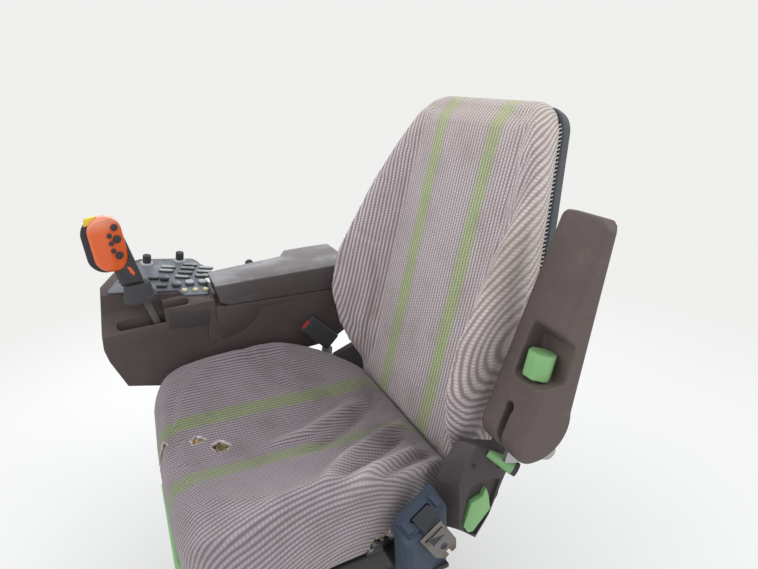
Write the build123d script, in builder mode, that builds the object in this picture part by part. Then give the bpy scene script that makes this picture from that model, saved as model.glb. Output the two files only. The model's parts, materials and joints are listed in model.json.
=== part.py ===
"""Operator's seat of a harvester on a suspension base, with a control console at its right arm.

Millimetres, +Z up.  The origin is on the floor at the middle of the base plate's bolt pattern.
The seat faces -Y, so the occupant's left is +X and the console stands at -X.

Most pieces are drawn from the junction, the line where cushion and backrest meet: a side view
holds (y, z) from that line, a plan holds (x, y) from it, and a backrest view holds (along, forward),
where along runs up the reclined backrest and forward points out of its face.
"""
from build123d import *
import math
import os

os.makedirs("parts", exist_ok=True)

# Where cushion and backrest meet, over the floor and behind the bolt pattern's middle
JUNCTION_Y = 230.0
JUNCTION_Z = 500.0
RECLINE = 15.7

# Running gaps: between bodies that move past each other, at rails, and at rest
MOVE_GAP = 5.0
RAIL_GAP = 0.3
SEAT_GAP = 0.3

# Base plate and suspension
BASE_WIDTH = 420.0
BASE_LENGTH = 440.0
BASE_PLATE_T = 6.0
BASE_CORNER_R = 30.0
BOLT_SPACING_X = 240.0
BOLT_SPACING_Y = 300.0
BOLT_HOLE_R = 5.5
LOWER_FRAME_H = 46.0
FRAME_WALL = 4.0
BELLOWS_PLEATS = 7
BELLOWS_DEPTH = 14.0
BELLOWS_WALL = 3.0
BELLOWS_INSET = 14.0
TOP_FRAME_H = 42.0
TOP_FRAME_Z = 312.0

# Slide rails under the pan
RAIL_X = 165.0
RAIL_W = 34.0
RAIL_H = 20.0
RAIL_T = 3.0
LOWER_RAIL_L = 430.0
UPPER_RAIL_L = BASE_LENGTH + 20.0

# Seat pan and cushion
PAN_WIDTH = 500.0
PAN_SIDE = PAN_WIDTH / 2
PAN_FRONT = -478.0
PAN_REAR = -2.0
PAN_T = 3.0
PAN_RIM_H = 34.0
PAN_CORNER_R = 60.0
CUSHION_HALF_W = PAN_SIDE + 36.0
CUSHION_FRONT = -502.0
CUSHION_REAR = -19.0
CUSHION_REAR_Z = -6.0
CUSHION_UNDER = -60.0
CUSHION_CREST_Y = -240.0
CUSHION_CREST_Z = 84.0
CUSHION_LIP_Z = 29.0
CUSHION_DISH = 55.0
CUSHION_EDGE_R = 42.0

# Backrest
BACK_HALF_W = PAN_SIDE + 22.0
BACK_PAD_D = 62.0
BACK_SHELL_T = 22.0
SHELL_LIP = 7.0
PIVOT_ALONG = -52.0
PIVOT_FWD = -52.0
PIVOT_R = 9.0
PIN_GAP = 0.08
EYE_R = 24.0
ARM_PLATE_T = 6.0
ARM_PLATE_X = PAN_SIDE - 28.0

# Left armrest, raised beside the backrest
ARMREST_X = BACK_HALF_W + 14.0
ARMREST_W = 98.0
ARMREST_TIP = 488.0
ARMREST_TIP_FWD = -2.0
ARMREST_TIP_REAR = -27.0
ARMREST_END = 98.0
ARMREST_FRONT = 46.0
ARMREST_REAR = -50.0
ARMREST_PIVOT_ALONG = 158.0
ARMREST_PIVOT_FWD = 8.0
ARMREST_PIN_R = 8.0
ARMREST_PIN_L = 60.0
ARMREST_EDGE = 7.0
ARMREST_CORNER_R = 14.0
ARMREST_SLOT_X = ARMREST_X + 52.0
ARMREST_SLOT_W = 13.0
KEYHOLE_R = 9.0
KEYHOLE_ALONG = 177.0
BRACKET_T = 8.0
TUBE_R = 9.0
TUBE_ALONG = 90.0
KNOB_R = 23.0
KNOB_LENGTH = 40.0
KNOB_LOW = 234.0
KNOB_X = ARMREST_X + 62.0
POCKET_X = ARMREST_X + 34.0
POCKET_LOW = 225.0
POCKET_HIGH = 322.0
POCKET_FLOOR = -12.0

# Console on the right
CONSOLE_IN = -PAN_SIDE - 50.0
CONSOLE_W = 232.0
CONSOLE_ARM_W = 128.0
CONSOLE_OUT = CONSOLE_IN - CONSOLE_W
CONSOLE_ARM_OUT = CONSOLE_IN - CONSOLE_ARM_W
CONSOLE_WALL = 5.0
CONSOLE_REAR = 14.0
PANEL_SLOPE = 9.0
PANEL_RISE = 9.8
NOTCH_X = CONSOLE_IN - 47.0
JOG_REAR = -388.0
WALL_TILT = 3.0
CREASE_FALL = 8.5
PANEL_T = 4.0
PAD_TOP = 232.0
PAD_FRONT = -310.0
PAD_REAR = 20.0

# Drive lever
LEVER_X = CONSOLE_IN - 17.0
LEVER_PIVOT_Y = -445.0
LEVER_PIVOT_Z = 80.0
LEVER_HUB_R = 11.0
LEVER_PIN_R = 5.0
LEVER_BAR_T = 6.0
LEVER_BAR_W = 15.0
BOOT_Y = -472.0
BOOT_RIM_Z = 229.0
BOOT_RIM_H = 13.0
BOOT_TOP_Z = 270.0
BOOT_W = 54.0
BOOT_L = 70.0
SLOT_FRONT = -532.0
SLOT_REAR = -376.0
SLOT_W = 18.0

RECLINE_SIN = math.sin(math.radians(RECLINE))
RECLINE_COS = math.cos(math.radians(RECLINE))
ALONG = (0, RECLINE_SIN, RECLINE_COS)


def outboard(table):
    """Plan points of the console for a table of (outboard of its inner face, y)."""
    return [(CONSOLE_IN - away, y) for away, y in table]


def store(builder, node):
    """Label a finished piece and write it as its own STEP file."""
    builder.part.label = node
    export_step(builder.part, f"parts/{node}.step")


def side_view(x):
    """Plane at lateral place x that is drawn in (y, z) from the junction."""
    return Plane(origin=(x, JUNCTION_Y, JUNCTION_Z), x_dir=(0, 1, 0), z_dir=(1, 0, 0))


def plan_view(z):
    """Plane at height z over the junction that is drawn in (x, y) from the junction."""
    return Plane(origin=(0, JUNCTION_Y, JUNCTION_Z + z), x_dir=(1, 0, 0), z_dir=(0, 0, 1))


def front_view(y):
    """Plane at depth y that is drawn in (x, z) from the junction and looks rearward."""
    return Plane(origin=(0, JUNCTION_Y + y, JUNCTION_Z), x_dir=(1, 0, 0), z_dir=(0, -1, 0))


def back_view(x):
    """Plane at lateral place x that is drawn in (along, forward) of the backrest."""
    return Plane(origin=(x, JUNCTION_Y, JUNCTION_Z), x_dir=ALONG, z_dir=(1, 0, 0))


def face_view(forward):
    """Plane across the backrest's face that is drawn in (x, along) and looks forward."""
    foot = (0, JUNCTION_Y - forward * RECLINE_COS, JUNCTION_Z + forward * RECLINE_SIN)
    return Plane(origin=foot, x_dir=(1, 0, 0), z_dir=(0, -RECLINE_COS, RECLINE_SIN))


def back_section(along):
    """Plane across the backrest that is drawn in (x, rearward)."""
    foot = (0, JUNCTION_Y + along * RECLINE_SIN, JUNCTION_Z + along * RECLINE_COS)
    return Plane(origin=foot, x_dir=(1, 0, 0), z_dir=ALONG)


# Base plate with its four bolt holes
with BuildPart() as base_plate:
    with BuildSketch():
        RectangleRounded(BASE_WIDTH, BASE_LENGTH, BASE_CORNER_R)
        with GridLocations(BOLT_SPACING_X, BOLT_SPACING_Y, 2, 2):
            Circle(BOLT_HOLE_R, mode=Mode.SUBTRACT)
    extrude(amount=BASE_PLATE_T)
store(base_plate, "base_plate")

# Lower frame: a wall round the scissor arms, turned in at the top to carry the bellows
LOWER_FRAME_W = BASE_WIDTH - 2 * BELLOWS_INSET
LOWER_FRAME_L = BASE_LENGTH - 2 * BELLOWS_INSET
BELLOWS_CORE_W = LOWER_FRAME_W - 2 * (BELLOWS_DEPTH + BELLOWS_WALL)
BELLOWS_CORE_L = LOWER_FRAME_L - 2 * (BELLOWS_DEPTH + BELLOWS_WALL)
BELLOWS_CORE_R = BASE_CORNER_R - BELLOWS_DEPTH
BELLOWS_CORNER = BASE_CORNER_R * 0.7
with BuildPart() as lower_frame:
    with BuildSketch(Plane.XY.offset(BASE_PLATE_T)):
        RectangleRounded(LOWER_FRAME_W, LOWER_FRAME_L, BASE_CORNER_R)
        offset(amount=-FRAME_WALL, mode=Mode.SUBTRACT)
    extrude(amount=LOWER_FRAME_H)
    with BuildSketch(Plane.XY.offset(BASE_PLATE_T + LOWER_FRAME_H)):
        RectangleRounded(LOWER_FRAME_W, LOWER_FRAME_L, BASE_CORNER_R)
        RectangleRounded(BELLOWS_CORE_W, BELLOWS_CORE_L, BELLOWS_CORE_R, mode=Mode.SUBTRACT)
    extrude(amount=-FRAME_WALL)
store(lower_frame, "lower_frame")

# Bellows: pleats that swell and narrow, one frustum pair per pleat
BELLOWS_Z = BASE_PLATE_T + LOWER_FRAME_H
PLEAT_H = (TOP_FRAME_Z - BELLOWS_Z) / BELLOWS_PLEATS
PLEAT_ANGLE = math.degrees(math.atan(BELLOWS_DEPTH / (PLEAT_H / 2)))
with BuildPart() as bellows:
    for pleat in range(BELLOWS_PLEATS):
        with BuildSketch(Plane.XY.offset(BELLOWS_Z + PLEAT_H * (pleat + 0.5))) as crest:
            Rectangle(LOWER_FRAME_W, LOWER_FRAME_L)
            chamfer(crest.vertices(), length=BELLOWS_CORNER)
        extrude(amount=PLEAT_H / 2, taper=PLEAT_ANGLE)
        extrude(crest.sketch, amount=-PLEAT_H / 2, taper=PLEAT_ANGLE)
    with BuildSketch(Plane.XY.offset(BELLOWS_Z)):
        RectangleRounded(BELLOWS_CORE_W, BELLOWS_CORE_L, BELLOWS_CORE_R)
    extrude(amount=TOP_FRAME_Z - BELLOWS_Z, mode=Mode.SUBTRACT)
store(bellows, "bellows")

# Top frame of the suspension, a shallow inverted tray
with BuildPart() as top_frame:
    with BuildSketch(Plane.XY.offset(TOP_FRAME_Z)):
        RectangleRounded(BASE_WIDTH, BASE_LENGTH, BASE_CORNER_R)
    extrude(amount=TOP_FRAME_H)
    chamfer(top_frame.faces().sort_by(Axis.Z)[-1].edges(), length=FRAME_WALL)
    with BuildSketch(Plane.XY.offset(TOP_FRAME_Z)):
        RectangleRounded(BELLOWS_CORE_W, BELLOWS_CORE_L, BELLOWS_CORE_R)
    extrude(amount=TOP_FRAME_H - FRAME_WALL, mode=Mode.SUBTRACT)
store(top_frame, "top_frame")

# Lower rails: two channels, open upward, bolted to the top frame
RAIL_Z = TOP_FRAME_Z + TOP_FRAME_H
with BuildPart() as rails_lower:
    with BuildSketch(Plane(origin=(0, LOWER_RAIL_L / 2, RAIL_Z), x_dir=(1, 0, 0), z_dir=(0, -1, 0))):
        with Locations((-RAIL_X, 0), (RAIL_X, 0)):
            Rectangle(RAIL_W, RAIL_H, align=(Align.CENTER, Align.MIN))
        with Locations((-RAIL_X, RAIL_T), (RAIL_X, RAIL_T)):
            Rectangle(RAIL_W - 2 * RAIL_T, RAIL_H, align=(Align.CENTER, Align.MIN), mode=Mode.SUBTRACT)
    extrude(amount=LOWER_RAIL_L)
store(rails_lower, "rails_lower")

# Upper rails: a tee that runs in each channel and carries the pan
UPPER_CAP_W = RAIL_W + 10.0
UPPER_WEB_W = RAIL_W - 2 * RAIL_T - 2 * RAIL_GAP
PAN_Z = JUNCTION_Z + CUSHION_UNDER - PAN_T
UPPER_CAP_Z = RAIL_Z + RAIL_H + MOVE_GAP
PAN_MID_Y = (PAN_FRONT + PAN_REAR) / 2
PAN_LENGTH = PAN_REAR - PAN_FRONT
UPPER_RAIL_FOOT = Plane(
    origin=(0, JUNCTION_Y + PAN_MID_Y + UPPER_RAIL_L / 2, 0), x_dir=(1, 0, 0), z_dir=(0, -1, 0)
)
with BuildPart() as rails_upper:
    with BuildSketch(UPPER_RAIL_FOOT):
        with Locations((-RAIL_X, RAIL_Z + RAIL_T + RAIL_GAP), (RAIL_X, RAIL_Z + RAIL_T + RAIL_GAP)):
            Rectangle(
                UPPER_WEB_W, UPPER_CAP_Z - RAIL_Z - RAIL_T - RAIL_GAP, align=(Align.CENTER, Align.MIN)
            )
        with Locations((-RAIL_X, UPPER_CAP_Z), (RAIL_X, UPPER_CAP_Z)):
            Rectangle(UPPER_CAP_W, PAN_Z - UPPER_CAP_Z, align=(Align.CENTER, Align.MIN))
        with Locations((-RAIL_X, (UPPER_CAP_Z + PAN_Z) / 2), (RAIL_X, (UPPER_CAP_Z + PAN_Z) / 2)):
            Rectangle(UPPER_CAP_W - 2 * RAIL_T, PAN_Z - UPPER_CAP_Z - 2 * RAIL_T, mode=Mode.SUBTRACT)
    extrude(amount=UPPER_RAIL_L)
store(rails_upper, "rails_upper")

# Pan: pressed tray, turned over, whose rim hangs round the rails
with BuildPart() as seat_pan:
    with BuildSketch(plan_view(CUSHION_UNDER)):
        with Locations((0, PAN_MID_Y)):
            RectangleRounded(PAN_WIDTH, PAN_LENGTH, PAN_CORNER_R)
    extrude(amount=-PAN_RIM_H)
    with BuildSketch(plan_view(CUSHION_UNDER - PAN_RIM_H)):
        with Locations((0, PAN_MID_Y)):
            RectangleRounded(PAN_WIDTH - 2 * PAN_T, PAN_LENGTH - 2 * PAN_T, PAN_CORNER_R - PAN_T)
    extrude(amount=PAN_RIM_H - PAN_T, mode=Mode.SUBTRACT)
store(seat_pan, "seat_pan")

# Cushion: a side profile at the height of its raised sides, trimmed to its plan and dished in the middle
DISH_HALF = CUSHION_HALF_W - 46.0
CUT_TOP = CUSHION_CREST_Z + 50.0
SIDE_TOP = CUSHION_CREST_Z + 4.0
with BuildPart() as seat_cushion:
    with BuildSketch(side_view(-CUSHION_HALF_W)):
        with BuildLine():
            rear_face = Line((CUSHION_REAR, CUSHION_UNDER), (CUSHION_REAR, CUSHION_REAR_Z))
            crown_end = (CUSHION_FRONT + 42, CUSHION_LIP_Z + 30)
            crown = ThreePointArc(rear_face @ 1, (CUSHION_CREST_Y, CUSHION_CREST_Z), crown_end)
            nose_end = (CUSHION_FRONT + 4, CUSHION_UNDER)
            nose = ThreePointArc(crown @ 1, (CUSHION_FRONT + 10, CUSHION_LIP_Z - 12), nose_end)
            Line(nose @ 1, rear_face @ 0)
        make_face()
    extrude(amount=2 * CUSHION_HALF_W)
    with BuildSketch(plan_view(CUSHION_UNDER)):
        with BuildLine():
            rear_end = (CUSHION_HALF_W * 0.7, CUSHION_REAR)
            side_rear = (CUSHION_HALF_W * 0.944, -155)
            side_front = (CUSHION_HALF_W * 0.985, CUSHION_FRONT + 107)
            front_end = (CUSHION_HALF_W * 0.7, CUSHION_FRONT + 6)
            Line((0, CUSHION_REAR), rear_end)
            ThreePointArc(rear_end, (CUSHION_HALF_W * 0.86, -88), side_rear)
            ThreePointArc(side_rear, (CUSHION_HALF_W, -290), side_front)
            ThreePointArc(side_front, (CUSHION_HALF_W * 0.91, CUSHION_FRONT + 34), front_end)
            ThreePointArc(front_end, (CUSHION_HALF_W * 0.35, CUSHION_FRONT + 1.5), (0, CUSHION_FRONT))
            mirror(about=Plane.YZ)
        make_face()
    extrude(amount=CUT_TOP - CUSHION_UNDER, mode=Mode.INTERSECT)
    with BuildSketch(front_view(0)) as edge_round:
        with Locations((0, CUSHION_UNDER)):
            Rectangle(2 * CUSHION_HALF_W, SIDE_TOP - CUSHION_UNDER, align=(Align.CENTER, Align.MIN))
        fillet(edge_round.vertices().sort_by(Axis.Z)[-2:], radius=CUSHION_EDGE_R)
    extrude(amount=-CUSHION_FRONT + 10, mode=Mode.INTERSECT)
    for y, dip in ((CUSHION_REAR + 1, 0), (CUSHION_FRONT - 1, CUSHION_LIP_Z)):
        with BuildSketch(front_view(y)):
            with BuildLine():
                rim = dip + CUSHION_DISH
                dish = ThreePointArc((-DISH_HALF, rim), (0, dip), (DISH_HALF, rim))
                Polyline(dish @ 1, (DISH_HALF, CUT_TOP), (-DISH_HALF, CUT_TOP), dish @ 0)
            make_face()
    loft(mode=Mode.SUBTRACT)
store(seat_cushion, "seat_cushion")

# Recliner pivot, at the foot of the backrest
RECLINE_PIVOT_Y = PIVOT_ALONG * RECLINE_SIN - PIVOT_FWD * RECLINE_COS
RECLINE_PIVOT_Z = PIVOT_ALONG * RECLINE_COS + PIVOT_FWD * RECLINE_SIN
RECLINER_T = 6.0
PLATE_FRONT = -210.0
PLATE_BEND = -60.0
PLATE_HEEL = -30.0
PLATE_LOW = CUSHION_UNDER - PAN_RIM_H
PLATE_TOP = CUSHION_UNDER - 12.0
with BuildPart() as recliner_plates:
    for face in (PAN_SIDE, -PAN_SIDE - RECLINER_T):
        with BuildSketch(side_view(face)):
            Polygon(
                (PLATE_FRONT, PLATE_LOW),
                (PLATE_FRONT, PLATE_TOP),
                (PLATE_BEND, PLATE_TOP + 10),
                (RECLINE_PIVOT_Y, RECLINE_PIVOT_Z + EYE_R),
                (RECLINE_PIVOT_Y + EYE_R, RECLINE_PIVOT_Z),
                (RECLINE_PIVOT_Y, RECLINE_PIVOT_Z - EYE_R),
                (PLATE_HEEL, PLATE_LOW - 8),
                align=None,
            )
            with Locations((RECLINE_PIVOT_Y, RECLINE_PIVOT_Z)):
                Circle(EYE_R)
                Circle(PIVOT_R, mode=Mode.SUBTRACT)
        extrude(amount=RECLINER_T)
store(recliner_plates, "recliner_plates")

# Recliner pins with a collar between the plates
PIN_OVERHANG = 4.0
COLLAR_R = PIVOT_R + 5.0
COLLAR_IN = ARM_PLATE_X + ARM_PLATE_T + RAIL_GAP
PIN_IN = ARM_PLATE_X - PIN_OVERHANG
PIN_OUT = PAN_SIDE + RECLINER_T + PIN_OVERHANG
with BuildPart() as recliner_pins:
    for side in (-1, 1):
        with BuildSketch(side_view(side * PIN_IN)):
            with Locations((RECLINE_PIVOT_Y, RECLINE_PIVOT_Z)):
                Circle(PIVOT_R)
        extrude(amount=side * (PIN_OUT - PIN_IN))
        with BuildSketch(side_view(side * COLLAR_IN)):
            with Locations((RECLINE_PIVOT_Y, RECLINE_PIVOT_Z)):
                Circle(COLLAR_R)
        extrude(amount=side * (PAN_SIDE - COLLAR_IN))
store(recliner_pins, "recliner_pins")

# Left side cover over the recliner: a housing whose front edge is bevelled, with a recess for the paddle
TRIM_IN = PAN_SIDE + 24.0
TRIM_W = 30.0
COVER_BOSS_Y = -35.0
COVER_BOSS_Z = -68.0
COVER_BOSS_R = 10.0
COVER_BOSS_L = TRIM_IN - PAN_SIDE - RECLINER_T
COVER_RECESS = 7.0
COVER_SHARED = [(4, -56), (33, 13), (50, 45), (42, 66), (-2, 84)]
COVER_INNER = [(-44, 98), (-66, 69), (-86, 29), (-86, -62), (-30, -96), *COVER_SHARED]
COVER_OUTER = [(-24, 98), (-45, 69), (-57, 33), (-57, -62), (-24, -96), *COVER_SHARED]
RECESS_OUTLINE = [(-36, 18), (1, 22), (25, 12), (8, -38), (0, -60), (-24, -90), (-44, -76), (-52, -47)]
with BuildPart() as side_cover_left:
    for x, outline in ((TRIM_IN, COVER_INNER), (TRIM_IN + TRIM_W, COVER_OUTER)):
        with BuildSketch(side_view(x)):
            Polygon(*outline, align=None)
    loft(ruled=True)
    with BuildSketch(side_view(TRIM_IN + TRIM_W)):
        Polygon(*RECESS_OUTLINE, align=None)
    extrude(amount=-COVER_RECESS, mode=Mode.SUBTRACT)
    with BuildSketch(side_view(TRIM_IN)):
        with Locations((COVER_BOSS_Y, COVER_BOSS_Z)):
            Circle(COVER_BOSS_R)
    extrude(amount=-COVER_BOSS_L)
store(side_cover_left, "side_cover_left")

# Right side cover, thinner, between the recliner and the console
COVER_RIGHT_W = 20.0
with BuildPart() as side_cover_right:
    with BuildSketch(side_view(-TRIM_IN - COVER_RIGHT_W)):
        Polygon((-58, -2), (-58, -30), (-44, -104), (44, -104), (54, -50), (50, 20), (20, 24), align=None)
        fillet(vertices(), radius=7)
    extrude(amount=COVER_RIGHT_W)
    with BuildSketch(side_view(-TRIM_IN)):
        with Locations((COVER_BOSS_Y, COVER_BOSS_Z)):
            Circle(COVER_BOSS_R)
    extrude(amount=COVER_BOSS_L)
store(side_cover_right, "side_cover_right")

# Belt anchor bars under the cushion, left for the retractor and right for the buckle
ANCHOR_T = 8.0
ANCHOR_Z = CUSHION_UNDER - PAN_RIM_H
ANCHOR_IN = PAN_SIDE + RECLINER_T
BUCKLE_X = -PAN_SIDE - 33.0
with BuildPart() as belt_anchors:
    for side, reach, front, rear in ((1, 82, -180, -98), (-1, 42, -150, -60)):
        with BuildSketch(plan_view(ANCHOR_Z)):
            with Locations((side * (ANCHOR_IN + reach / 2), (front + rear) / 2)):
                Rectangle(reach, rear - front)
        extrude(amount=ANCHOR_T)
store(belt_anchors, "belt_anchors")

# Belt retractor: an upright housing with a sloping mouth, its bezel and two lugs at the bezel's ends
WEBBING_W = 34.0
WEBBING_T = 2.0
RETRACTOR_X = PAN_SIDE + 66.0
RETRACTOR_Y = -138.0
RETRACTOR_L = 84.0
RETRACTOR_D = 44.0
RETRACTOR_TURN = 104.0
BEZEL_T = 4.0
LUG_L = 11.0
LUG_H = 10.0
RETRACTOR_MOUTH = Plane(
    origin=(RETRACTOR_X - 2, JUNCTION_Y + RETRACTOR_Y, JUNCTION_Z + 16),
    x_dir=(0.22, -0.92, -0.32),
    z_dir=(0.53, -0.16, 0.83),
)
with BuildPart() as belt_retractor:
    with BuildSketch(plan_view(ANCHOR_Z + ANCHOR_T)):
        with Locations(Location((RETRACTOR_X, RETRACTOR_Y, 0), (0, 0, RETRACTOR_TURN))):
            RectangleRounded(RETRACTOR_L, RETRACTOR_D, 9)
    extrude(amount=2 * RETRACTOR_L)
    split(bisect_by=RETRACTOR_MOUTH, keep=Keep.BOTTOM)
    with BuildSketch(RETRACTOR_MOUTH):
        RectangleRounded(RETRACTOR_L - 6, RETRACTOR_D - 8, 5)
    extrude(amount=BEZEL_T)
    with BuildSketch(RETRACTOR_MOUTH):
        with Locations((-RETRACTOR_L / 2 + LUG_L, 2), (RETRACTOR_L / 2 - LUG_L, 2)):
            Rectangle(LUG_L, RETRACTOR_D / 2)
    extrude(amount=LUG_H)
    with BuildSketch(RETRACTOR_MOUTH.offset(-LUG_H)):
        SlotOverall(WEBBING_W + 8, WEBBING_T + 5)
    extrude(amount=2 * LUG_H, mode=Mode.SUBTRACT)
store(belt_retractor, "belt_retractor")

# Short run of webbing from the mouth over its outer edge, drawn in (outboard, out of the mouth)
WEBBING_PLANE = Plane(
    origin=RETRACTOR_MOUTH.origin - RETRACTOR_MOUTH.x_dir * (WEBBING_W / 2),
    x_dir=RETRACTOR_MOUTH.y_dir,
    z_dir=RETRACTOR_MOUTH.x_dir,
)
with BuildPart() as belt_webbing:
    with BuildSketch(WEBBING_PLANE):
        with BuildLine():
            Polyline((0, -LUG_H), (0, BEZEL_T + 3), (26, BEZEL_T + 3), (48, -8))
        trace(line_width=WEBBING_T)
    extrude(amount=WEBBING_W)
store(belt_webbing, "belt_webbing")

# Latch plate hanging on the outer side of the retractor by a short run of webbing
LATCH_FACE = Plane(
    origin=(PAN_SIDE + 95, JUNCTION_Y - 118, JUNCTION_Z - 24),
    x_dir=(0.04, -0.5, 0.86),
    z_dir=(1, 0.03, -0.03),
)
LATCH_HALF_W = 22.0
LATCH_TIP = -36.0
LATCH_TOP = 38.0
LATCH_T = 2.5
with BuildPart() as latch_plate:
    with BuildSketch(LATCH_FACE):
        with BuildLine():
            shoulder = (LATCH_TIP + 18, LATCH_HALF_W)
            Polyline((LATCH_TOP, 0), (LATCH_TOP, LATCH_HALF_W), shoulder, (LATCH_TIP, 12))
            Polyline((LATCH_TIP, 12), (LATCH_TIP, 3), (LATCH_TIP + 12, 3), (LATCH_TIP + 12, 0))
            mirror(about=Plane.XZ)
        make_face()
        with Locations((-10, 0)):
            Circle(6.5, mode=Mode.SUBTRACT)
        with Locations((LATCH_TOP - 10, 0)):
            SlotOverall(WEBBING_W + 2, WEBBING_T + 4, rotation=90, mode=Mode.SUBTRACT)
    extrude(amount=LATCH_T)
    add(belt_webbing.part, mode=Mode.SUBTRACT)
store(latch_plate, "latch_plate")

# Buckle on its stalk, between cushion and console
BUCKLE_AXIS = Plane(
    origin=(BUCKLE_X, JUNCTION_Y - 60, JUNCTION_Z + 38), x_dir=(1, 0, 0), z_dir=(0, -0.68, 0.733)
)
BUCKLE_W = 22.0
BUCKLE_D = 46.0
BUCKLE_L = 88.0
BUTTON_D = 24.0
BUTTON_T = 8.0
STALK_T = 6.0
with BuildPart() as buckle_body:
    with BuildSketch(BUCKLE_AXIS):
        RectangleRounded(BUCKLE_W, BUCKLE_D, 6)
    extrude(amount=BUCKLE_L)
    with BuildSketch(BUCKLE_AXIS.offset(BUCKLE_L - BUTTON_T)):
        with Locations((0, -4)):
            Rectangle(BUCKLE_W - 6, BUTTON_D)
    extrude(amount=BUTTON_T, mode=Mode.SUBTRACT)
store(buckle_body, "buckle_body")

with BuildPart() as buckle_button:
    with BuildSketch(BUCKLE_AXIS.offset(BUCKLE_L - BUTTON_T)):
        with Locations((0, -4)):
            Rectangle(BUCKLE_W - 7, BUTTON_D - 1)
    extrude(amount=BUTTON_T - 1)
store(buckle_button, "buckle_button")

with BuildPart() as buckle_stalk:
    with BuildSketch(side_view(BUCKLE_X - STALK_T / 2)):
        Polygon((-82, 42), (-60, 22), (-72, ANCHOR_Z + ANCHOR_T), (-112, ANCHOR_Z + ANCHOR_T), align=None)
    extrude(amount=STALK_T)
    add(buckle_body.part, mode=Mode.SUBTRACT)
store(buckle_stalk, "buckle_stalk")

# Bar across the front that frees the slide
SLIDE_BAR_R = 7.0
SLIDE_BAR_X = RAIL_X - RAIL_W / 2 - 5 - SLIDE_BAR_R
SLIDE_BAR_Z = CUSHION_UNDER - PAN_RIM_H - SLIDE_BAR_R - 4
with BuildPart() as slide_bar:
    with BuildLine(plan_view(SLIDE_BAR_Z)):
        Polyline((-SLIDE_BAR_X, -400), (-SLIDE_BAR_X, -502), (SLIDE_BAR_X, -502), (SLIDE_BAR_X, -400))
        route = fillet(vertices().group_by(Axis.Y)[0], radius=26)
    with BuildSketch(front_view(-400)):
        with Locations((-SLIDE_BAR_X, SLIDE_BAR_Z)):
            Circle(SLIDE_BAR_R)
    sweep()
store(slide_bar, "slide_bar")

# Recline paddle in the left cover's recess
PADDLE_T = 10.0
PADDLE_OUTLINE = [(-5, 6), (0, -10), (4, -41), (-31, -76), (-41, -74), (-50, -57), (-35, -14), (-12, -8)]
with BuildPart() as recline_lever:
    with BuildSketch(side_view(TRIM_IN + TRIM_W - COVER_RECESS)):
        Polygon(*PADDLE_OUTLINE, align=None)
    extrude(amount=PADDLE_T)
    add(side_cover_left.part, mode=Mode.SUBTRACT)
store(recline_lever, "recline_lever")

# Handle that widens out of the left cover, with an end cap
HANDLE_L = 46.0
HANDLE_R = 6.5
HANDLE_FLARE = 7.4
CAP_R = 12.0
CAP_T = 8.0
HANDLE_AXIS = Plane(
    origin=(TRIM_IN + TRIM_W - 2, JUNCTION_Y - 1, JUNCTION_Z + 75),
    x_dir=(0, 0.5, 0.716),
    z_dir=(0.64, 0.63, -0.44),
)
with BuildPart() as lumbar_handle:
    with BuildSketch(HANDLE_AXIS):
        Circle(HANDLE_R)
    extrude(amount=HANDLE_L, taper=-HANDLE_FLARE)
    add(side_cover_left.part, mode=Mode.SUBTRACT)
store(lumbar_handle, "lumbar_handle")

with BuildPart() as lumbar_handle_cap:
    with BuildSketch(HANDLE_AXIS.offset(HANDLE_L)):
        Circle(CAP_R)
    extrude(amount=CAP_T)
store(lumbar_handle_cap, "lumbar_handle_cap")

# Console: the control panel lies on a plane that falls inboard and rises to the front
PANEL_X = CONSOLE_IN - 36.0
PANEL_Y = -432.0
PANEL_Z = 222.0
SLOPE_SIN = math.sin(math.radians(PANEL_SLOPE))
SLOPE_COS = math.cos(math.radians(PANEL_SLOPE))
RISE_SIN = math.sin(math.radians(PANEL_RISE))
RISE_COS = math.cos(math.radians(PANEL_RISE))
PANEL_NORMAL = (SLOPE_SIN * RISE_COS, SLOPE_COS * RISE_SIN, SLOPE_COS * RISE_COS)
PANEL_PLANE = Plane(
    origin=(PANEL_X, JUNCTION_Y + PANEL_Y, JUNCTION_Z + PANEL_Z),
    x_dir=(SLOPE_COS, 0, -SLOPE_SIN),
    z_dir=PANEL_NORMAL,
)
# Rows: outboard of the inner face, y
CONSOLE_PLAN = outboard([
    (0, -568), (44, -568), (200, -500), (CONSOLE_W, -456), (CONSOLE_W, -334), (174, -302),
    (CONSOLE_ARM_W, -290), (CONSOLE_ARM_W, CONSOLE_REAR), (0, CONSOLE_REAR),
])
CONSOLE_CORNER_R = 12.0
CONSOLE_TOP = 262.0
ARM_TOP_Z = 166.0
BIN_REAR = -322.0
BIN_LOW = 22.0
WELL_Z = LEVER_PIVOT_Z - LEVER_HUB_R - 14
HOLLOW_FLOOR = BIN_LOW + CONSOLE_WALL + 1
HOLLOW_TOP = ARM_TOP_Z - CONSOLE_WALL
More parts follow.
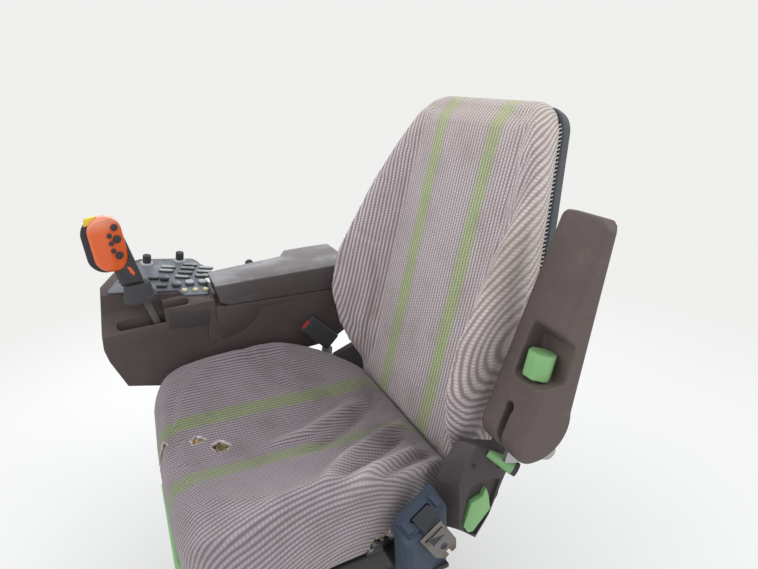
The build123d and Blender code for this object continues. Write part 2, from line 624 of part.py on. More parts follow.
# Inner wall over the crease, which falls rearward: drawn in (rearward, up the wall)
CREASE_Y = -450.0
CREASE_Z = 122.0
FALL_SIN = math.sin(math.radians(CREASE_FALL))
FALL_COS = math.cos(math.radians(CREASE_FALL))
TILT_SIN = math.sin(math.radians(WALL_TILT))
TILT_COS = math.cos(math.radians(WALL_TILT))
INNER_WALL = Plane(
    origin=(CONSOLE_IN, JUNCTION_Y + CREASE_Y, JUNCTION_Z + CREASE_Z),
    x_dir=(0, FALL_COS, -FALL_SIN),
    z_dir=(TILT_COS, TILT_SIN * FALL_SIN, TILT_SIN * FALL_COS),
)
SEAM_W = 1.6
SEAM_DEPTH = 1.4
with BuildPart() as console_hollow:
    with BuildSketch(side_view(CONSOLE_OUT)):
        Polygon(
            (-540, 68),
            (-462, HOLLOW_FLOOR),
            (BIN_REAR, HOLLOW_FLOOR),
            (-62, 38),
            (2, 72),
            (2, HOLLOW_TOP),
            (-550, HOLLOW_TOP),
            align=None,
        )
    extrude(amount=CONSOLE_IN - CONSOLE_OUT - CONSOLE_WALL)
    with BuildSketch(plan_view(0)):
        Polygon(*CONSOLE_PLAN, align=None)
        fillet(vertices(), radius=CONSOLE_CORNER_R)
        offset(amount=-CONSOLE_WALL)
    extrude(amount=CONSOLE_TOP, mode=Mode.INTERSECT)
    split(bisect_by=INNER_WALL.offset(-CONSOLE_WALL), keep=Keep.BOTTOM)
with BuildPart() as console_body:
    with BuildSketch(side_view(CONSOLE_OUT)):
        Polygon(
            (BIN_REAR, CONSOLE_TOP),
            (-548, CONSOLE_TOP),
            (-563, 172),
            (-566, 136),
            (-560, 108),
            (-535, 41),
            (-467, BIN_LOW),
            (BIN_REAR, BIN_LOW),
            align=None,
        )
    extrude(amount=CONSOLE_IN - CONSOLE_OUT)
    split(bisect_by=PANEL_PLANE, keep=Keep.BOTTOM)
    split(bisect_by=INNER_WALL, keep=Keep.BOTTOM)
    with BuildSketch(side_view(CONSOLE_OUT)):
        Polygon(
            (BIN_REAR, BIN_LOW),
            (-60, 30),
            (CONSOLE_REAR, 70),
            (CONSOLE_REAR, ARM_TOP_Z),
            (BIN_REAR, ARM_TOP_Z + 16),
            align=None,
        )
    extrude(amount=CONSOLE_IN - CONSOLE_OUT)
    with BuildSketch(plan_view(0)):
        Polygon(*CONSOLE_PLAN, align=None)
        fillet(vertices(), radius=CONSOLE_CORNER_R)
    extrude(amount=CONSOLE_TOP, mode=Mode.INTERSECT)
    add(console_hollow.part, mode=Mode.SUBTRACT)
    # Steps from the panel down to the inner face, drawn in (x, z) at their rear ends
    for rear, inner_z, away, step_z in ((-332, 196, 22, 212), (-432, 164, 47, 204)):
        with BuildSketch(front_view(rear)):
            Polygon(
                (CONSOLE_IN + 10, inner_z - 8),
                (CONSOLE_IN, inner_z),
                (CONSOLE_IN - away, step_z),
                (CONSOLE_IN - away, CONSOLE_TOP),
                (CONSOLE_IN + 10, CONSOLE_TOP),
                align=None,
            )
        extrude(amount=CONSOLE_W, mode=Mode.SUBTRACT)
    with BuildSketch(front_view(JOG_REAR)):
        with Locations((NOTCH_X, 212)):
            Rectangle(CONSOLE_IN - 21 - NOTCH_X, CONSOLE_TOP - 212, align=(Align.MIN, Align.MIN))
    extrude(amount=CONSOLE_W, mode=Mode.SUBTRACT)
    with BuildSketch(plan_view(CONSOLE_TOP)):
        with Locations((LEVER_X, (SLOT_FRONT + SLOT_REAR) / 2)):
            SlotOverall(SLOT_REAR - SLOT_FRONT, SLOT_W, rotation=90)
    extrude(amount=WELL_Z - CONSOLE_TOP, mode=Mode.SUBTRACT)
    with BuildSketch(INNER_WALL):
        with BuildLine():
            Line((101, 2), (101, 34))
        trace(line_width=SEAM_W)
    extrude(amount=-SEAM_DEPTH, mode=Mode.SUBTRACT)
    with BuildSketch(side_view(CONSOLE_IN)):
        with BuildLine():
            ThreePointArc((-318, 104), (-258, 120), (-222, 160))
        trace(line_width=SEAM_W)
    extrude(amount=-SEAM_DEPTH, mode=Mode.SUBTRACT)
store(console_body, "console_body")

# Blank plate on the inner wall, behind the slot
PLATE_OUTLINE = [(18, 37), (18, 71), (102, 71), (102, 39)]
with BuildPart() as console_plate:
    with BuildSketch(INNER_WALL):
        Polygon(*PLATE_OUTLINE, align=None)
    extrude(amount=2.5)
store(console_plate, "console_plate")

# Arm that carries the console from the pan, a cranked plate
CRANK_X = CONSOLE_IN - 42.0
CRANK_T = 8.0
CRANK_TOP = 22.0
CRANK_REACH = 100.0
with BuildPart() as console_bracket:
    with BuildSketch(front_view(-150)):
        Polygon(
            (-ANCHOR_IN, ANCHOR_Z),
            (CRANK_X, ANCHOR_Z),
            (CRANK_X, CRANK_TOP - CRANK_T),
            (CONSOLE_IN - CRANK_REACH, CRANK_TOP - CRANK_T),
            (CONSOLE_IN - CRANK_REACH, CRANK_TOP),
            (CRANK_X + CRANK_T, CRANK_TOP),
            (CRANK_X + CRANK_T, ANCHOR_Z + CRANK_T),
            (-ANCHOR_IN, ANCHOR_Z + CRANK_T),
            align=None,
        )
    extrude(amount=150)
store(console_bracket, "console_bracket")

# Armrest pad on the console's arm: rows are outboard of the console's inner face, y
PAD_PLAN = outboard([
    (2, -330), (100, -330), (114, -301), (143, -128), (189, -104), (189, PAD_REAR), (2, PAD_REAR),
])
with BuildPart() as armrest_pad:
    with BuildSketch(side_view(CONSOLE_OUT)):
        Polygon(
            (PAD_FRONT - 7, PAD_TOP + 1),
            (PAD_FRONT, 190),
            (PAD_FRONT + 18, ARM_TOP_Z + 15),
            (CONSOLE_REAR, ARM_TOP_Z + SEAT_GAP),
            (PAD_REAR, ARM_TOP_Z + SEAT_GAP),
            (PAD_REAR, PAD_TOP - 5),
            align=None,
        )
    extrude(amount=CONSOLE_W)
    with BuildSketch(plan_view(100)):
        Polygon(*PAD_PLAN, align=None)
        fillet(vertices(), radius=9)
    extrude(amount=200, mode=Mode.INTERSECT)
store(armrest_pad, "armrest_pad")


def on_panel(x, y):
    """Point of the panel plane over plan place (x, y), in the plane's own axes."""
    return ((x - PANEL_X) / SLOPE_COS, (y - PANEL_Y) / RISE_COS)


# Control panel, a plate let into the console's rim
PANEL_PLAN = outboard([
    (54, -540), (182, -484), (220, -448), (220, -340), (174, -312),
    (124, -330), (30, -330), (30, -382), (54, -394),
])
PANEL_HOLES = [(180, -29), (66, 80)]
PANEL_HOLE_R = 2.5
with BuildPart() as control_panel:
    with BuildSketch(PANEL_PLANE):
        Polygon(*[on_panel(x, y) for x, y in PANEL_PLAN], align=None)
        fillet(vertices(), radius=6)
        with Locations(*[(-outer, -forward) for outer, forward in PANEL_HOLES]):
            Circle(PANEL_HOLE_R, mode=Mode.SUBTRACT)
    extrude(amount=PANEL_T)
store(control_panel, "control_panel")

# Keys on the panel: places are (outboard, forward) from the panel's origin
LONG_KEYS = [
    (134, -34),
    (114, -26),
    (144, -86),
    (124, -77),
    (101, -68),
    (78, -58),
    (123, -121),
    (102, -113),
    (80, -104),
]
ROUND_KEYS = [(39, -39), (43, -69), (44, -99), (73, -17)]
SMALL_KEYS = [(38, -7), (79, 6)]
LAMP_KEYS = [(12, -53), (12, -77), (12, -100)]
KNOBS = [(162, 12), (176, -66)]
LONG_KEY_L = 34.0
LONG_KEY_W = 12.0
KEY_H = 6.0
ROUND_KEY_W = 20.0
ROUND_KEY_H = 9.0
LAMP_KEY_R = 6.5
SKIRT_R = 15.0
SKIRT_H = 4.0
KNOB_DIAL_R = 9.5
KNOB_DIAL_H = 19.0
PANEL_FACE = PANEL_PLANE.offset(PANEL_T)


def panel_spots(places):
    """Locations on the panel's face for a table of (outboard, forward) places."""
    return [(-outboard, -forward) for outboard, forward in places]


with BuildPart() as long_keys:
    with BuildSketch(PANEL_FACE):
        with Locations(*panel_spots(LONG_KEYS)):
            SlotOverall(LONG_KEY_L, LONG_KEY_W, rotation=78)
    extrude(amount=KEY_H)
store(long_keys, "long_keys")

with BuildPart() as round_keys:
    with BuildSketch(PANEL_FACE):
        with Locations(*panel_spots(ROUND_KEYS)):
            RectangleRounded(ROUND_KEY_W, ROUND_KEY_W, 7)
    extrude(amount=ROUND_KEY_H)
store(round_keys, "round_keys")

with BuildPart() as small_keys:
    with BuildSketch(PANEL_FACE):
        with Locations(*panel_spots(SMALL_KEYS)):
            SlotOverall(ROUND_KEY_W + 4, LONG_KEY_W + 1, rotation=84)
    extrude(amount=KEY_H)
store(small_keys, "small_keys")

with BuildPart() as lamp_keys:
    with BuildSketch(PANEL_FACE):
        with Locations(*panel_spots(LAMP_KEYS)):
            Circle(LAMP_KEY_R)
    extrude(amount=KEY_H - 1)
store(lamp_keys, "lamp_keys")

with BuildPart() as knob_skirts:
    with BuildSketch(PANEL_FACE):
        with Locations(*panel_spots(KNOBS)):
            Circle(SKIRT_R)
    extrude(amount=SKIRT_H, taper=20)
store(knob_skirts, "knob_skirts")

with BuildPart() as rotary_knobs:
    with BuildSketch(PANEL_FACE.offset(SKIRT_H)):
        with Locations(*panel_spots(KNOBS)):
            Circle(KNOB_DIAL_R)
    extrude(amount=KNOB_DIAL_H)
store(rotary_knobs, "rotary_knobs")

# Pull handle and ball knob on the outer side of the console's arm: rows are outboard of the inner face, y
LATCH_PLAN = outboard([
    (CONSOLE_ARM_W, -274), (160, -286), (178, -268), (170, -248), (CONSOLE_ARM_W, -240),
])
with BuildPart() as console_latch:
    with BuildSketch(plan_view(ARM_TOP_Z - 14)):
        Polygon(*LATCH_PLAN, align=None)
    extrude(amount=30)
store(console_latch, "console_latch")

BALL_Y = -205.0
BALL_R = 10.0
STEM_R = 5.0
STEM_REACH = 28.0
STEM_LOW = ARM_TOP_Z - 30.0
BALL_TOP = PAD_TOP - 2.0
with BuildPart() as ball_knob:
    with BuildSketch(plan_view(STEM_LOW)):
        with Locations((CONSOLE_ARM_OUT - STEM_REACH, BALL_Y)):
            Circle(STEM_R)
    extrude(amount=BALL_TOP - 2 * BALL_R - STEM_LOW)
    with BuildSketch(plan_view(STEM_LOW)):
        with Locations((CONSOLE_ARM_OUT - STEM_REACH / 2, BALL_Y)):
            Rectangle(STEM_REACH, 2 * STEM_R)
    extrude(amount=2 * STEM_R)
    with BuildSketch(plan_view(BALL_TOP - 2 * BALL_R)):
        with Locations((CONSOLE_ARM_OUT - STEM_REACH, BALL_Y)):
            Circle(BALL_R)
    extrude(amount=2 * BALL_R)
    chamfer(ball_knob.faces().sort_by(Axis.Z)[-1].edges(), length=BALL_R / 2)
store(ball_knob, "ball_knob")

# Drive lever: hub and bent flat bar
BAR_BEND = (-451, 179)
with BuildPart() as lever_bar:
    with BuildSketch(side_view(LEVER_X - LEVER_BAR_T / 2)):
        with BuildLine():
            Polyline((LEVER_PIVOT_Y, LEVER_PIVOT_Z), BAR_BEND, (BOOT_Y + 4, BOOT_RIM_Z + BOOT_RIM_H))
        trace(line_width=LEVER_BAR_W)
        with Locations((LEVER_PIVOT_Y, LEVER_PIVOT_Z)):
            Circle(LEVER_HUB_R)
            Circle(LEVER_PIN_R, mode=Mode.SUBTRACT)
    extrude(amount=LEVER_BAR_T)
store(lever_bar, "lever_bar")

# Lever's pivot: a pin through two cheeks on the console's floor
CHEEK_T = 4.0
CHEEK_FOOT = 16.0
with BuildPart() as lever_pivot:
    for inner in (LEVER_X - SLOT_W / 2, LEVER_X + SLOT_W / 2 - CHEEK_T):
        with BuildSketch(side_view(inner)):
            Polygon(
                (LEVER_PIVOT_Y - CHEEK_FOOT, HOLLOW_FLOOR),
                (LEVER_PIVOT_Y + CHEEK_FOOT, HOLLOW_FLOOR),
                (LEVER_PIVOT_Y + 10, LEVER_PIVOT_Z + 10),
                (LEVER_PIVOT_Y - 10, LEVER_PIVOT_Z + 10),
                align=None,
            )
        extrude(amount=CHEEK_T)
    with BuildSketch(side_view(LEVER_X - SLOT_W / 2)):
        with Locations((LEVER_PIVOT_Y, LEVER_PIVOT_Z)):
            Circle(LEVER_PIN_R - PIN_GAP)
    extrude(amount=SLOT_W)
store(lever_pivot, "lever_pivot")

# Boot, a bell over the bar with an upright rim
with BuildPart() as lever_boot:
    with BuildSketch(plan_view(BOOT_RIM_Z)):
        with Locations((LEVER_X, BOOT_Y)):
            RectangleRounded(BOOT_W, BOOT_L, BOOT_W / 2 - 1)
    extrude(amount=BOOT_RIM_H)
    with BuildSketch(plan_view(BOOT_RIM_Z + BOOT_RIM_H)):
        with Locations((LEVER_X, BOOT_Y - 2)):
            RectangleRounded(BOOT_W - 6, BOOT_L - 8, BOOT_W / 2 - 4)
    extrude(amount=BOOT_TOP_Z - BOOT_RIM_Z - BOOT_RIM_H, taper=9)
    add(lever_bar.part, mode=Mode.SUBTRACT)
store(lever_boot, "lever_boot")

# Head: an orange shell with a bevelled face for the keys, and a dark shell round its front and outer side
HEAD_Y = -512.0
HEAD_Z = 366.0
HEAD_LENGTH = 116.0
HEAD_WIDTH = 64.0
HEAD_TURN = 93.0
HEAD_IN = LEVER_X
HEAD_FACE_T = 26.0
HEAD_EDGE = 6.0
HEAD_BACK_Y = HEAD_Y - 11.0
HEAD_BACK_Z = HEAD_Z - 6.0
HEAD_BACK_T = 24.0
KEY_TILT = 24.0
KEY_SIN = math.sin(math.radians(KEY_TILT))
KEY_COS = math.cos(math.radians(KEY_TILT))
KEY_FACE = Plane(
    origin=(HEAD_IN + HEAD_FACE_T, JUNCTION_Y + HEAD_Y + 2, JUNCTION_Z + HEAD_Z),
    x_dir=(-KEY_SIN, KEY_COS, 0),
    z_dir=(KEY_COS, KEY_SIN, 0),
)
with BuildPart() as lever_head:
    with BuildSketch(side_view(HEAD_IN)):
        with Locations((HEAD_Y, HEAD_Z)):
            SlotOverall(HEAD_LENGTH, HEAD_WIDTH, rotation=HEAD_TURN)
    extrude(amount=HEAD_FACE_T)
    chamfer(lever_head.faces().sort_by(Axis.X)[-1].edges(), length=HEAD_EDGE)
    split(bisect_by=KEY_FACE, keep=Keep.BOTTOM)
store(lever_head, "lever_head")

with BuildPart() as lever_head_back:
    with BuildSketch(side_view(HEAD_IN)):
        with Locations((HEAD_BACK_Y, HEAD_BACK_Z)):
            SlotOverall(HEAD_LENGTH, HEAD_WIDTH + 6, rotation=HEAD_TURN)
    extrude(amount=-HEAD_BACK_T)
    chamfer(lever_head_back.faces().sort_by(Axis.X)[0].edges(), length=HEAD_EDGE + 3)
store(lever_head_back, "lever_head_back")

# Grip: a neck that rises from the boot behind the head, drawn in (y, z)
GRIP_W = 36.0
GRIP_EDGE = 8.0
GRIP_LOW = BOOT_TOP_Z
GRIP_OUTLINE = [
    (-504, GRIP_LOW), (-511, 302), (-519, 330), (-506, 388),
    (-485, 392), (-477, 358), (-466, 306), (-459, GRIP_LOW),
]
with BuildPart() as lever_grip:
    with BuildSketch(side_view(LEVER_X - GRIP_W / 2)):
        Polygon(*GRIP_OUTLINE, align=None)
    extrude(amount=GRIP_W)
    chamfer(lever_grip.faces().sort_by(Axis.X)[0].edges(), length=GRIP_EDGE)
    chamfer(lever_grip.faces().sort_by(Axis.X)[-1].edges(), length=GRIP_EDGE)
    with BuildSketch(side_view(LEVER_X - GRIP_W)):
        with Locations((HEAD_Y, HEAD_Z)):
            SlotOverall(HEAD_LENGTH + 2 * SEAT_GAP, HEAD_WIDTH + 2 * SEAT_GAP, rotation=HEAD_TURN)
        with Locations((HEAD_BACK_Y, HEAD_BACK_Z)):
            SlotOverall(HEAD_LENGTH + 2 * SEAT_GAP, HEAD_WIDTH + 6 + 2 * SEAT_GAP, rotation=HEAD_TURN)
    extrude(amount=2 * GRIP_W, mode=Mode.SUBTRACT)
store(lever_grip, "lever_grip")

# Keys on the head's bevelled face: places are (rearward, up) from the head's middle, and radius
HEAD_KEYS = [(17, 34, 7), (18, 9, 8), (4, 19, 5), (5, 3, 5), (6, -13, 5), (16, -25, 8)]
HEAD_KEY_H = 4.0
with BuildPart() as head_keys:
    for rearward, up, radius in HEAD_KEYS:
        with BuildSketch(KEY_FACE):
            with Locations((rearward, up)):
                Circle(radius)
        extrude(amount=HEAD_KEY_H)
    add(lever_grip.part, mode=Mode.SUBTRACT)
store(head_keys, "head_keys")

SWITCH_W = 16.0
with BuildPart() as head_switch:
    with BuildSketch(side_view(HEAD_IN + 2)):
        Polygon((-548, 408), (-546, 422), (-524, 426), (-522, 412), align=None)
    extrude(amount=SWITCH_W)
    add(lever_head.part, mode=Mode.SUBTRACT)
    add(lever_head_back.part, mode=Mode.SUBTRACT)
store(head_switch, "head_switch")

# Backrest: cushion lofted through sections across its length
BACK_SECTIONS = [
    # along, side in from the widest, ridge forward, flat middle's edge in, rear edge in, face set back
    (-40, 60, 2, 122, 76, 0),
    (4, 42, 10, 114, 60, 0),
    (44, 29, 48, 106, 50, 0),
    (90, 17, 79, 100, 39, 0),
    (162, 2, 106, 90, 34, 0),
    (250, 0, 109, 86, 36, 0),
    (357, 4, 80, 88, 50, 0),
    (445, 10, 53, 96, 67, 0),
    (537, 38, 27, 107, 84, 0),
    (600, 73, 12, 122, 96, 0),
    (630, 97, 3, 134, 112, 7),
    (644, 122, 1, 154, 140, 22),
]


def back_outline(along, side_in, ridge, flat_in, rear_in, face):
    """Face across the backrest cushion: a flat middle that rises to a ridge at each side."""
    half = BACK_HALF_W - side_in
    flat = BACK_HALF_W - flat_in
    rear = BACK_HALF_W - rear_in
    with BuildSketch(back_section(along)) as outline:
        with BuildLine():
            Line((0, face), (flat, face))
            ThreePointArc((flat, face), ((flat + half) / 2, face - ridge * 0.5), (half - 12, face - ridge))
            ThreePointArc((half - 12, face - ridge), (half - 2, face - ridge + 8), (half, face - ridge + 22))
            Line((half, face - ridge + 22), (rear, BACK_PAD_D))
            Line((rear, BACK_PAD_D), (0, BACK_PAD_D))
            mirror(about=Plane.YZ)
        make_face()
    return outline.sketch


with BuildPart() as back_cushion:
    loft([back_outline(*row) for row in BACK_SECTIONS], ruled=True)
store(back_cushion, "back_cushion")

# Back shell behind the cushion, drawn in (x, along) on the cushion's rear face, a lip wider than its sides
SHELL_LOW = 4.0
SHELL_STEP = 150.0
SHELL_TOP = 642.0
SHELL_SIDE = [
    (BACK_HALF_W - rear_in + SHELL_LIP, along)
    for along, _, _, _, rear_in, _ in BACK_SECTIONS
    if SHELL_STEP < along < 610
]
SHELL_PLANE = Plane(
    origin=(0, JUNCTION_Y + BACK_PAD_D * RECLINE_COS, JUNCTION_Z - BACK_PAD_D * RECLINE_SIN),
    x_dir=(-1, 0, 0),
    z_dir=(0, RECLINE_COS, -RECLINE_SIN),
)
with BuildPart() as back_shell:
    with BuildSketch(SHELL_PLANE):
        with BuildLine():
            Polyline((0, SHELL_LOW), (ARM_PLATE_X, SHELL_LOW), (ARM_PLATE_X, SHELL_STEP), *SHELL_SIDE)
            shell_corner = (BACK_HALF_W - 134, SHELL_TOP)
            ThreePointArc(SHELL_SIDE[-1], (BACK_HALF_W - 103, SHELL_TOP - 14), shell_corner)
            Line(shell_corner, (0, SHELL_TOP))
            mirror(about=Plane.YZ)
        make_face()
    extrude(amount=BACK_SHELL_T, taper=14)
store(back_shell, "back_shell")

# Steel arms from the shell's sides down to the recliner pins
ARM_TOP = 140.0
SHELL_REAR_FWD = -BACK_PAD_D - BACK_SHELL_T
with BuildPart() as back_arms:
    for inner in (ARM_PLATE_X, -ARM_PLATE_X - ARM_PLATE_T):
        with BuildSketch(back_view(inner)):
            Polygon(
                (PIVOT_ALONG - 4, PIVOT_FWD + EYE_R),
                (PIVOT_ALONG + EYE_R, PIVOT_FWD),
                (SHELL_LOW, -BACK_PAD_D - SEAT_GAP),
                (ARM_TOP, -BACK_PAD_D - SEAT_GAP),
                (ARM_TOP, SHELL_REAR_FWD),
                (0, SHELL_REAR_FWD),
                (PIVOT_ALONG - 6, PIVOT_FWD - EYE_R),
                align=None,
            )
            with Locations((PIVOT_ALONG, PIVOT_FWD)):
                Circle(EYE_R)
                Circle(PIVOT_R + PIN_GAP, mode=Mode.SUBTRACT)
        extrude(amount=ARM_PLATE_T)
store(back_arms, "back_arms")

# Bracket of the left armrest: a tube out from the arm plate, an upright in the armrest's slot, and its pin
TUBE_FWD = -BACK_PAD_D - TUBE_R - 2
TUBE_COLLAR_R = TUBE_R + 5.0
UPRIGHT_BEND = ARMREST_PIVOT_ALONG - 71.0
UPRIGHT_HALF = 10.0
EYE_END_R = 13.0
UPRIGHT_REAR = ARMREST_PIVOT_FWD - UPRIGHT_HALF
UPRIGHT_FRONT = ARMREST_PIVOT_FWD + UPRIGHT_HALF
with BuildPart() as armrest_bracket:
    with BuildSketch(back_view(ARM_PLATE_X + ARM_PLATE_T)):
        with Locations((TUBE_ALONG, TUBE_FWD)):
            Circle(TUBE_R)
    extrude(amount=ARMREST_SLOT_X + BRACKET_T / 2 - ARM_PLATE_X - ARM_PLATE_T)
    with BuildSketch(back_view(ARMREST_SLOT_X - BRACKET_T / 2)):
        with Locations((TUBE_ALONG, TUBE_FWD)):
            Circle(TUBE_COLLAR_R)
        Polygon(
            (TUBE_ALONG - TUBE_COLLAR_R, TUBE_FWD),
            (TUBE_ALONG + TUBE_COLLAR_R, TUBE_FWD),
            (UPRIGHT_BEND + 11, UPRIGHT_REAR - 38),
            (UPRIGHT_BEND, UPRIGHT_REAR),
            (ARMREST_PIVOT_ALONG, UPRIGHT_REAR),
            (ARMREST_PIVOT_ALONG, UPRIGHT_FRONT),
            (UPRIGHT_BEND - 9, UPRIGHT_FRONT),
            (UPRIGHT_BEND - 11, UPRIGHT_REAR),
            (UPRIGHT_BEND - 7, UPRIGHT_REAR - 32),
            align=None,
        )
        with Locations((ARMREST_PIVOT_ALONG, ARMREST_PIVOT_FWD)):
            Circle(EYE_END_R)
    extrude(amount=BRACKET_T)
    with BuildSketch(back_view(ARMREST_SLOT_X - ARMREST_PIN_L / 2)):
        with Locations((ARMREST_PIVOT_ALONG, ARMREST_PIVOT_FWD)):
            Circle(ARMREST_PIN_R)
    extrude(amount=ARMREST_PIN_L)
store(armrest_bracket, "armrest_bracket")

# Left armrest, raised: a moulding that deepens to its pivot, with a slot for the upright and a pocket
SLOT_CLEAR_R = EYE_END_R + 1.5
SLOT_MOUTH = ARMREST_FRONT + 24.0
TIP_BLOCK_FWD = ARMREST_REAR - 5.0
with BuildPart() as armrest_left:
    with BuildSketch(back_view(ARMREST_X + ARMREST_EDGE)):
        with BuildLine():
            tip_front = (ARMREST_TIP, ARMREST_TIP_FWD)
            tip_rear = (ARMREST_TIP, ARMREST_TIP_REAR)
            heel_rear = (ARMREST_PIVOT_ALONG + 30, ARMREST_REAR)
            end_middle = (ARMREST_END, ARMREST_PIVOT_FWD)
            heel_front = (ARMREST_PIVOT_ALONG - 24, ARMREST_FRONT)
            Polyline(heel_front, tip_front, tip_rear, heel_rear)
            ThreePointArc(heel_rear, (ARMREST_END + 18, ARMREST_REAR + 16), end_middle)
            ThreePointArc(end_middle, (ARMREST_END + 11, ARMREST_FRONT - 13), heel_front)
        make_face()
    extrude(amount=ARMREST_W - 2 * ARMREST_EDGE)
    extrude(armrest_left.faces().sort_by(Axis.X)[-1], amount=ARMREST_EDGE, taper=45)
    extrude(armrest_left.faces().sort_by(Axis.X)[0], amount=ARMREST_EDGE, taper=45)
    with BuildSketch(face_view(TIP_BLOCK_FWD)):
        Polygon(
            (ARMREST_X, ARMREST_END - 5),
            (ARMREST_X, ARMREST_TIP - ARMREST_CORNER_R),
            (ARMREST_X + ARMREST_CORNER_R, ARMREST_TIP + 1),
            (ARMREST_X + ARMREST_W - ARMREST_CORNER_R, ARMREST_TIP + 1),
            (ARMREST_X + ARMREST_W, ARMREST_TIP - ARMREST_CORNER_R),
            (ARMREST_X + ARMREST_W, ARMREST_END - 5),
            align=None,
        )
    extrude(amount=ARMREST_FRONT + 5 - TIP_BLOCK_FWD, mode=Mode.INTERSECT)
    with BuildSketch(back_view(POCKET_X)):
        Polygon(
            (POCKET_LOW + 12, POCKET_FLOOR),
            (POCKET_HIGH - 26, POCKET_FLOOR),
            (POCKET_HIGH, ARMREST_FRONT - 16),
            (POCKET_HIGH, SLOT_MOUTH),
            (POCKET_LOW, SLOT_MOUTH),
            (POCKET_LOW, ARMREST_FRONT - 12),
            align=None,
        )
    extrude(amount=ARMREST_W, mode=Mode.SUBTRACT)
    with BuildSketch(back_view(ARMREST_SLOT_X - ARMREST_SLOT_W / 2)):
        Polygon(
            (ARMREST_END - 38, ARMREST_PIVOT_FWD - SLOT_CLEAR_R),
            (ARMREST_PIVOT_ALONG, ARMREST_PIVOT_FWD - SLOT_CLEAR_R),
            (ARMREST_PIVOT_ALONG + SLOT_CLEAR_R + 2, ARMREST_PIVOT_FWD),
            (ARMREST_PIVOT_ALONG + 26, SLOT_MOUTH),
            (ARMREST_END - 38, SLOT_MOUTH),
            align=None,
        )
        with Locations((ARMREST_PIVOT_ALONG, ARMREST_PIVOT_FWD)):
            Circle(SLOT_CLEAR_R)
    extrude(amount=ARMREST_SLOT_W, mode=Mode.SUBTRACT)
    with BuildSketch(face_view(SLOT_MOUTH)):
        with Locations((ARMREST_SLOT_X, KEYHOLE_ALONG)):
            Circle(KEYHOLE_R)
    extrude(amount=ARMREST_PIVOT_FWD - SLOT_MOUTH, mode=Mode.SUBTRACT)
    with BuildSketch(back_view(ARMREST_SLOT_X - ARMREST_PIN_L / 2 - PIN_GAP)):
        with Locations((ARMREST_PIVOT_ALONG, ARMREST_PIVOT_FWD)):
            Circle(ARMREST_PIN_R + PIN_GAP)
    extrude(amount=ARMREST_PIN_L + 2 * PIN_GAP, mode=Mode.SUBTRACT)
store(armrest_left, "armrest_left")

# Angle knob in the armrest's pocket
KNOB_AXIS_Y = -POCKET_FLOOR - KNOB_R - 2
KNOB_STEM_R = 9.0
with BuildPart() as armrest_knob:
    with BuildSketch(back_section(KNOB_LOW)):
        with Locations((KNOB_X, KNOB_AXIS_Y)):
            RegularPolygon(KNOB_R, 6)
            chamfer(vertices(), length=4)
    extrude(amount=KNOB_LENGTH)
    with BuildSketch(back_section(KNOB_LOW)):
        with Locations((KNOB_X, KNOB_AXIS_Y)):
            Circle(KNOB_STEM_R)
    extrude(amount=POCKET_LOW - KNOB_LOW)
    add(armrest_left.part, mode=Mode.SUBTRACT)
store(armrest_knob, "armrest_knob")
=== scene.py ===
"""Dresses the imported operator's seat in cloth, moulded plastic, metal and rubber, and lights it.

Metres, +Z up.  The seat faces -Y, the occupant's left is +X and the control console stands at -X.
Places are given from the junction, the line where cushion and backrest meet, as in the seat's drawings.
"""

import json
import logging
import math
from contextlib import contextmanager
from dataclasses import dataclass
from enum import Enum
from typing import Iterator, Sequence

import bmesh
import bpy
import numpy as np
from mathutils import Matrix, Vector
from mathutils.noise import noise

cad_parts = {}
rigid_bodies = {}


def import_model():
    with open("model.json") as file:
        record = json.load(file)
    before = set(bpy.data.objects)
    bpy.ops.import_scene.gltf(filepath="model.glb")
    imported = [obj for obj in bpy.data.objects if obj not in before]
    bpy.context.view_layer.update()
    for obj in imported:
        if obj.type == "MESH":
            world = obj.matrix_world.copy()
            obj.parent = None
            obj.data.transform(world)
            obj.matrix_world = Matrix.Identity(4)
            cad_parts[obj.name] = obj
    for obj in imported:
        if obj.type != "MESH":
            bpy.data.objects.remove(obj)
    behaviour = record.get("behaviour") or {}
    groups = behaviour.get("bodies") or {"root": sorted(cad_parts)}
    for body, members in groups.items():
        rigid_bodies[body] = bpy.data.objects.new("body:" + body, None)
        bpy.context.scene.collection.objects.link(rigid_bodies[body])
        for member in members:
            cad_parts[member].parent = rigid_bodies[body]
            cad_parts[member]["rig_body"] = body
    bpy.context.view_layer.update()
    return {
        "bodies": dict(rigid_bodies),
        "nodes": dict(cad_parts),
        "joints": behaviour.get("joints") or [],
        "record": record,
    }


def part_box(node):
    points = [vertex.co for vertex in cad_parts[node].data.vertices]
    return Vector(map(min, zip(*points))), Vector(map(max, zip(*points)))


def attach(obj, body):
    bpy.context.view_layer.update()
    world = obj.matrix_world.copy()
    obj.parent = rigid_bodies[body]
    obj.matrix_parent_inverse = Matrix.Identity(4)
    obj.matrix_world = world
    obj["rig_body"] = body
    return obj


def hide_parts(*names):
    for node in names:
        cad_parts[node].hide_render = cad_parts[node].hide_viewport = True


LOG = logging.getLogger("operator_seat")
MM = 0.001
TAU = 2 * math.pi

JUNCTION = Vector((0.0, 0.230, 0.500))
RECLINE = math.radians(15.7)
ALONG = Vector((0.0, math.sin(RECLINE), math.cos(RECLINE)))
FORWARD = Vector((0.0, -math.cos(RECLINE), math.sin(RECLINE)))
RIGHT = Vector((1.0, 0.0, 0.0))

Colour = tuple[float, float, float]
Point = tuple[float, float, float]


def seat_point(x: float, y: float, z: float) -> Vector:
    """Point in millimetres from the junction, in the frame's metres."""
    return JUNCTION + Vector((x, y, z)) * MM


def back_point(x: float, along: float, forward: float) -> Vector:
    """Point in millimetres across, up and out of the backrest's face, in the frame's metres."""
    return JUNCTION + (RIGHT * x + ALONG * along + FORWARD * forward) * MM


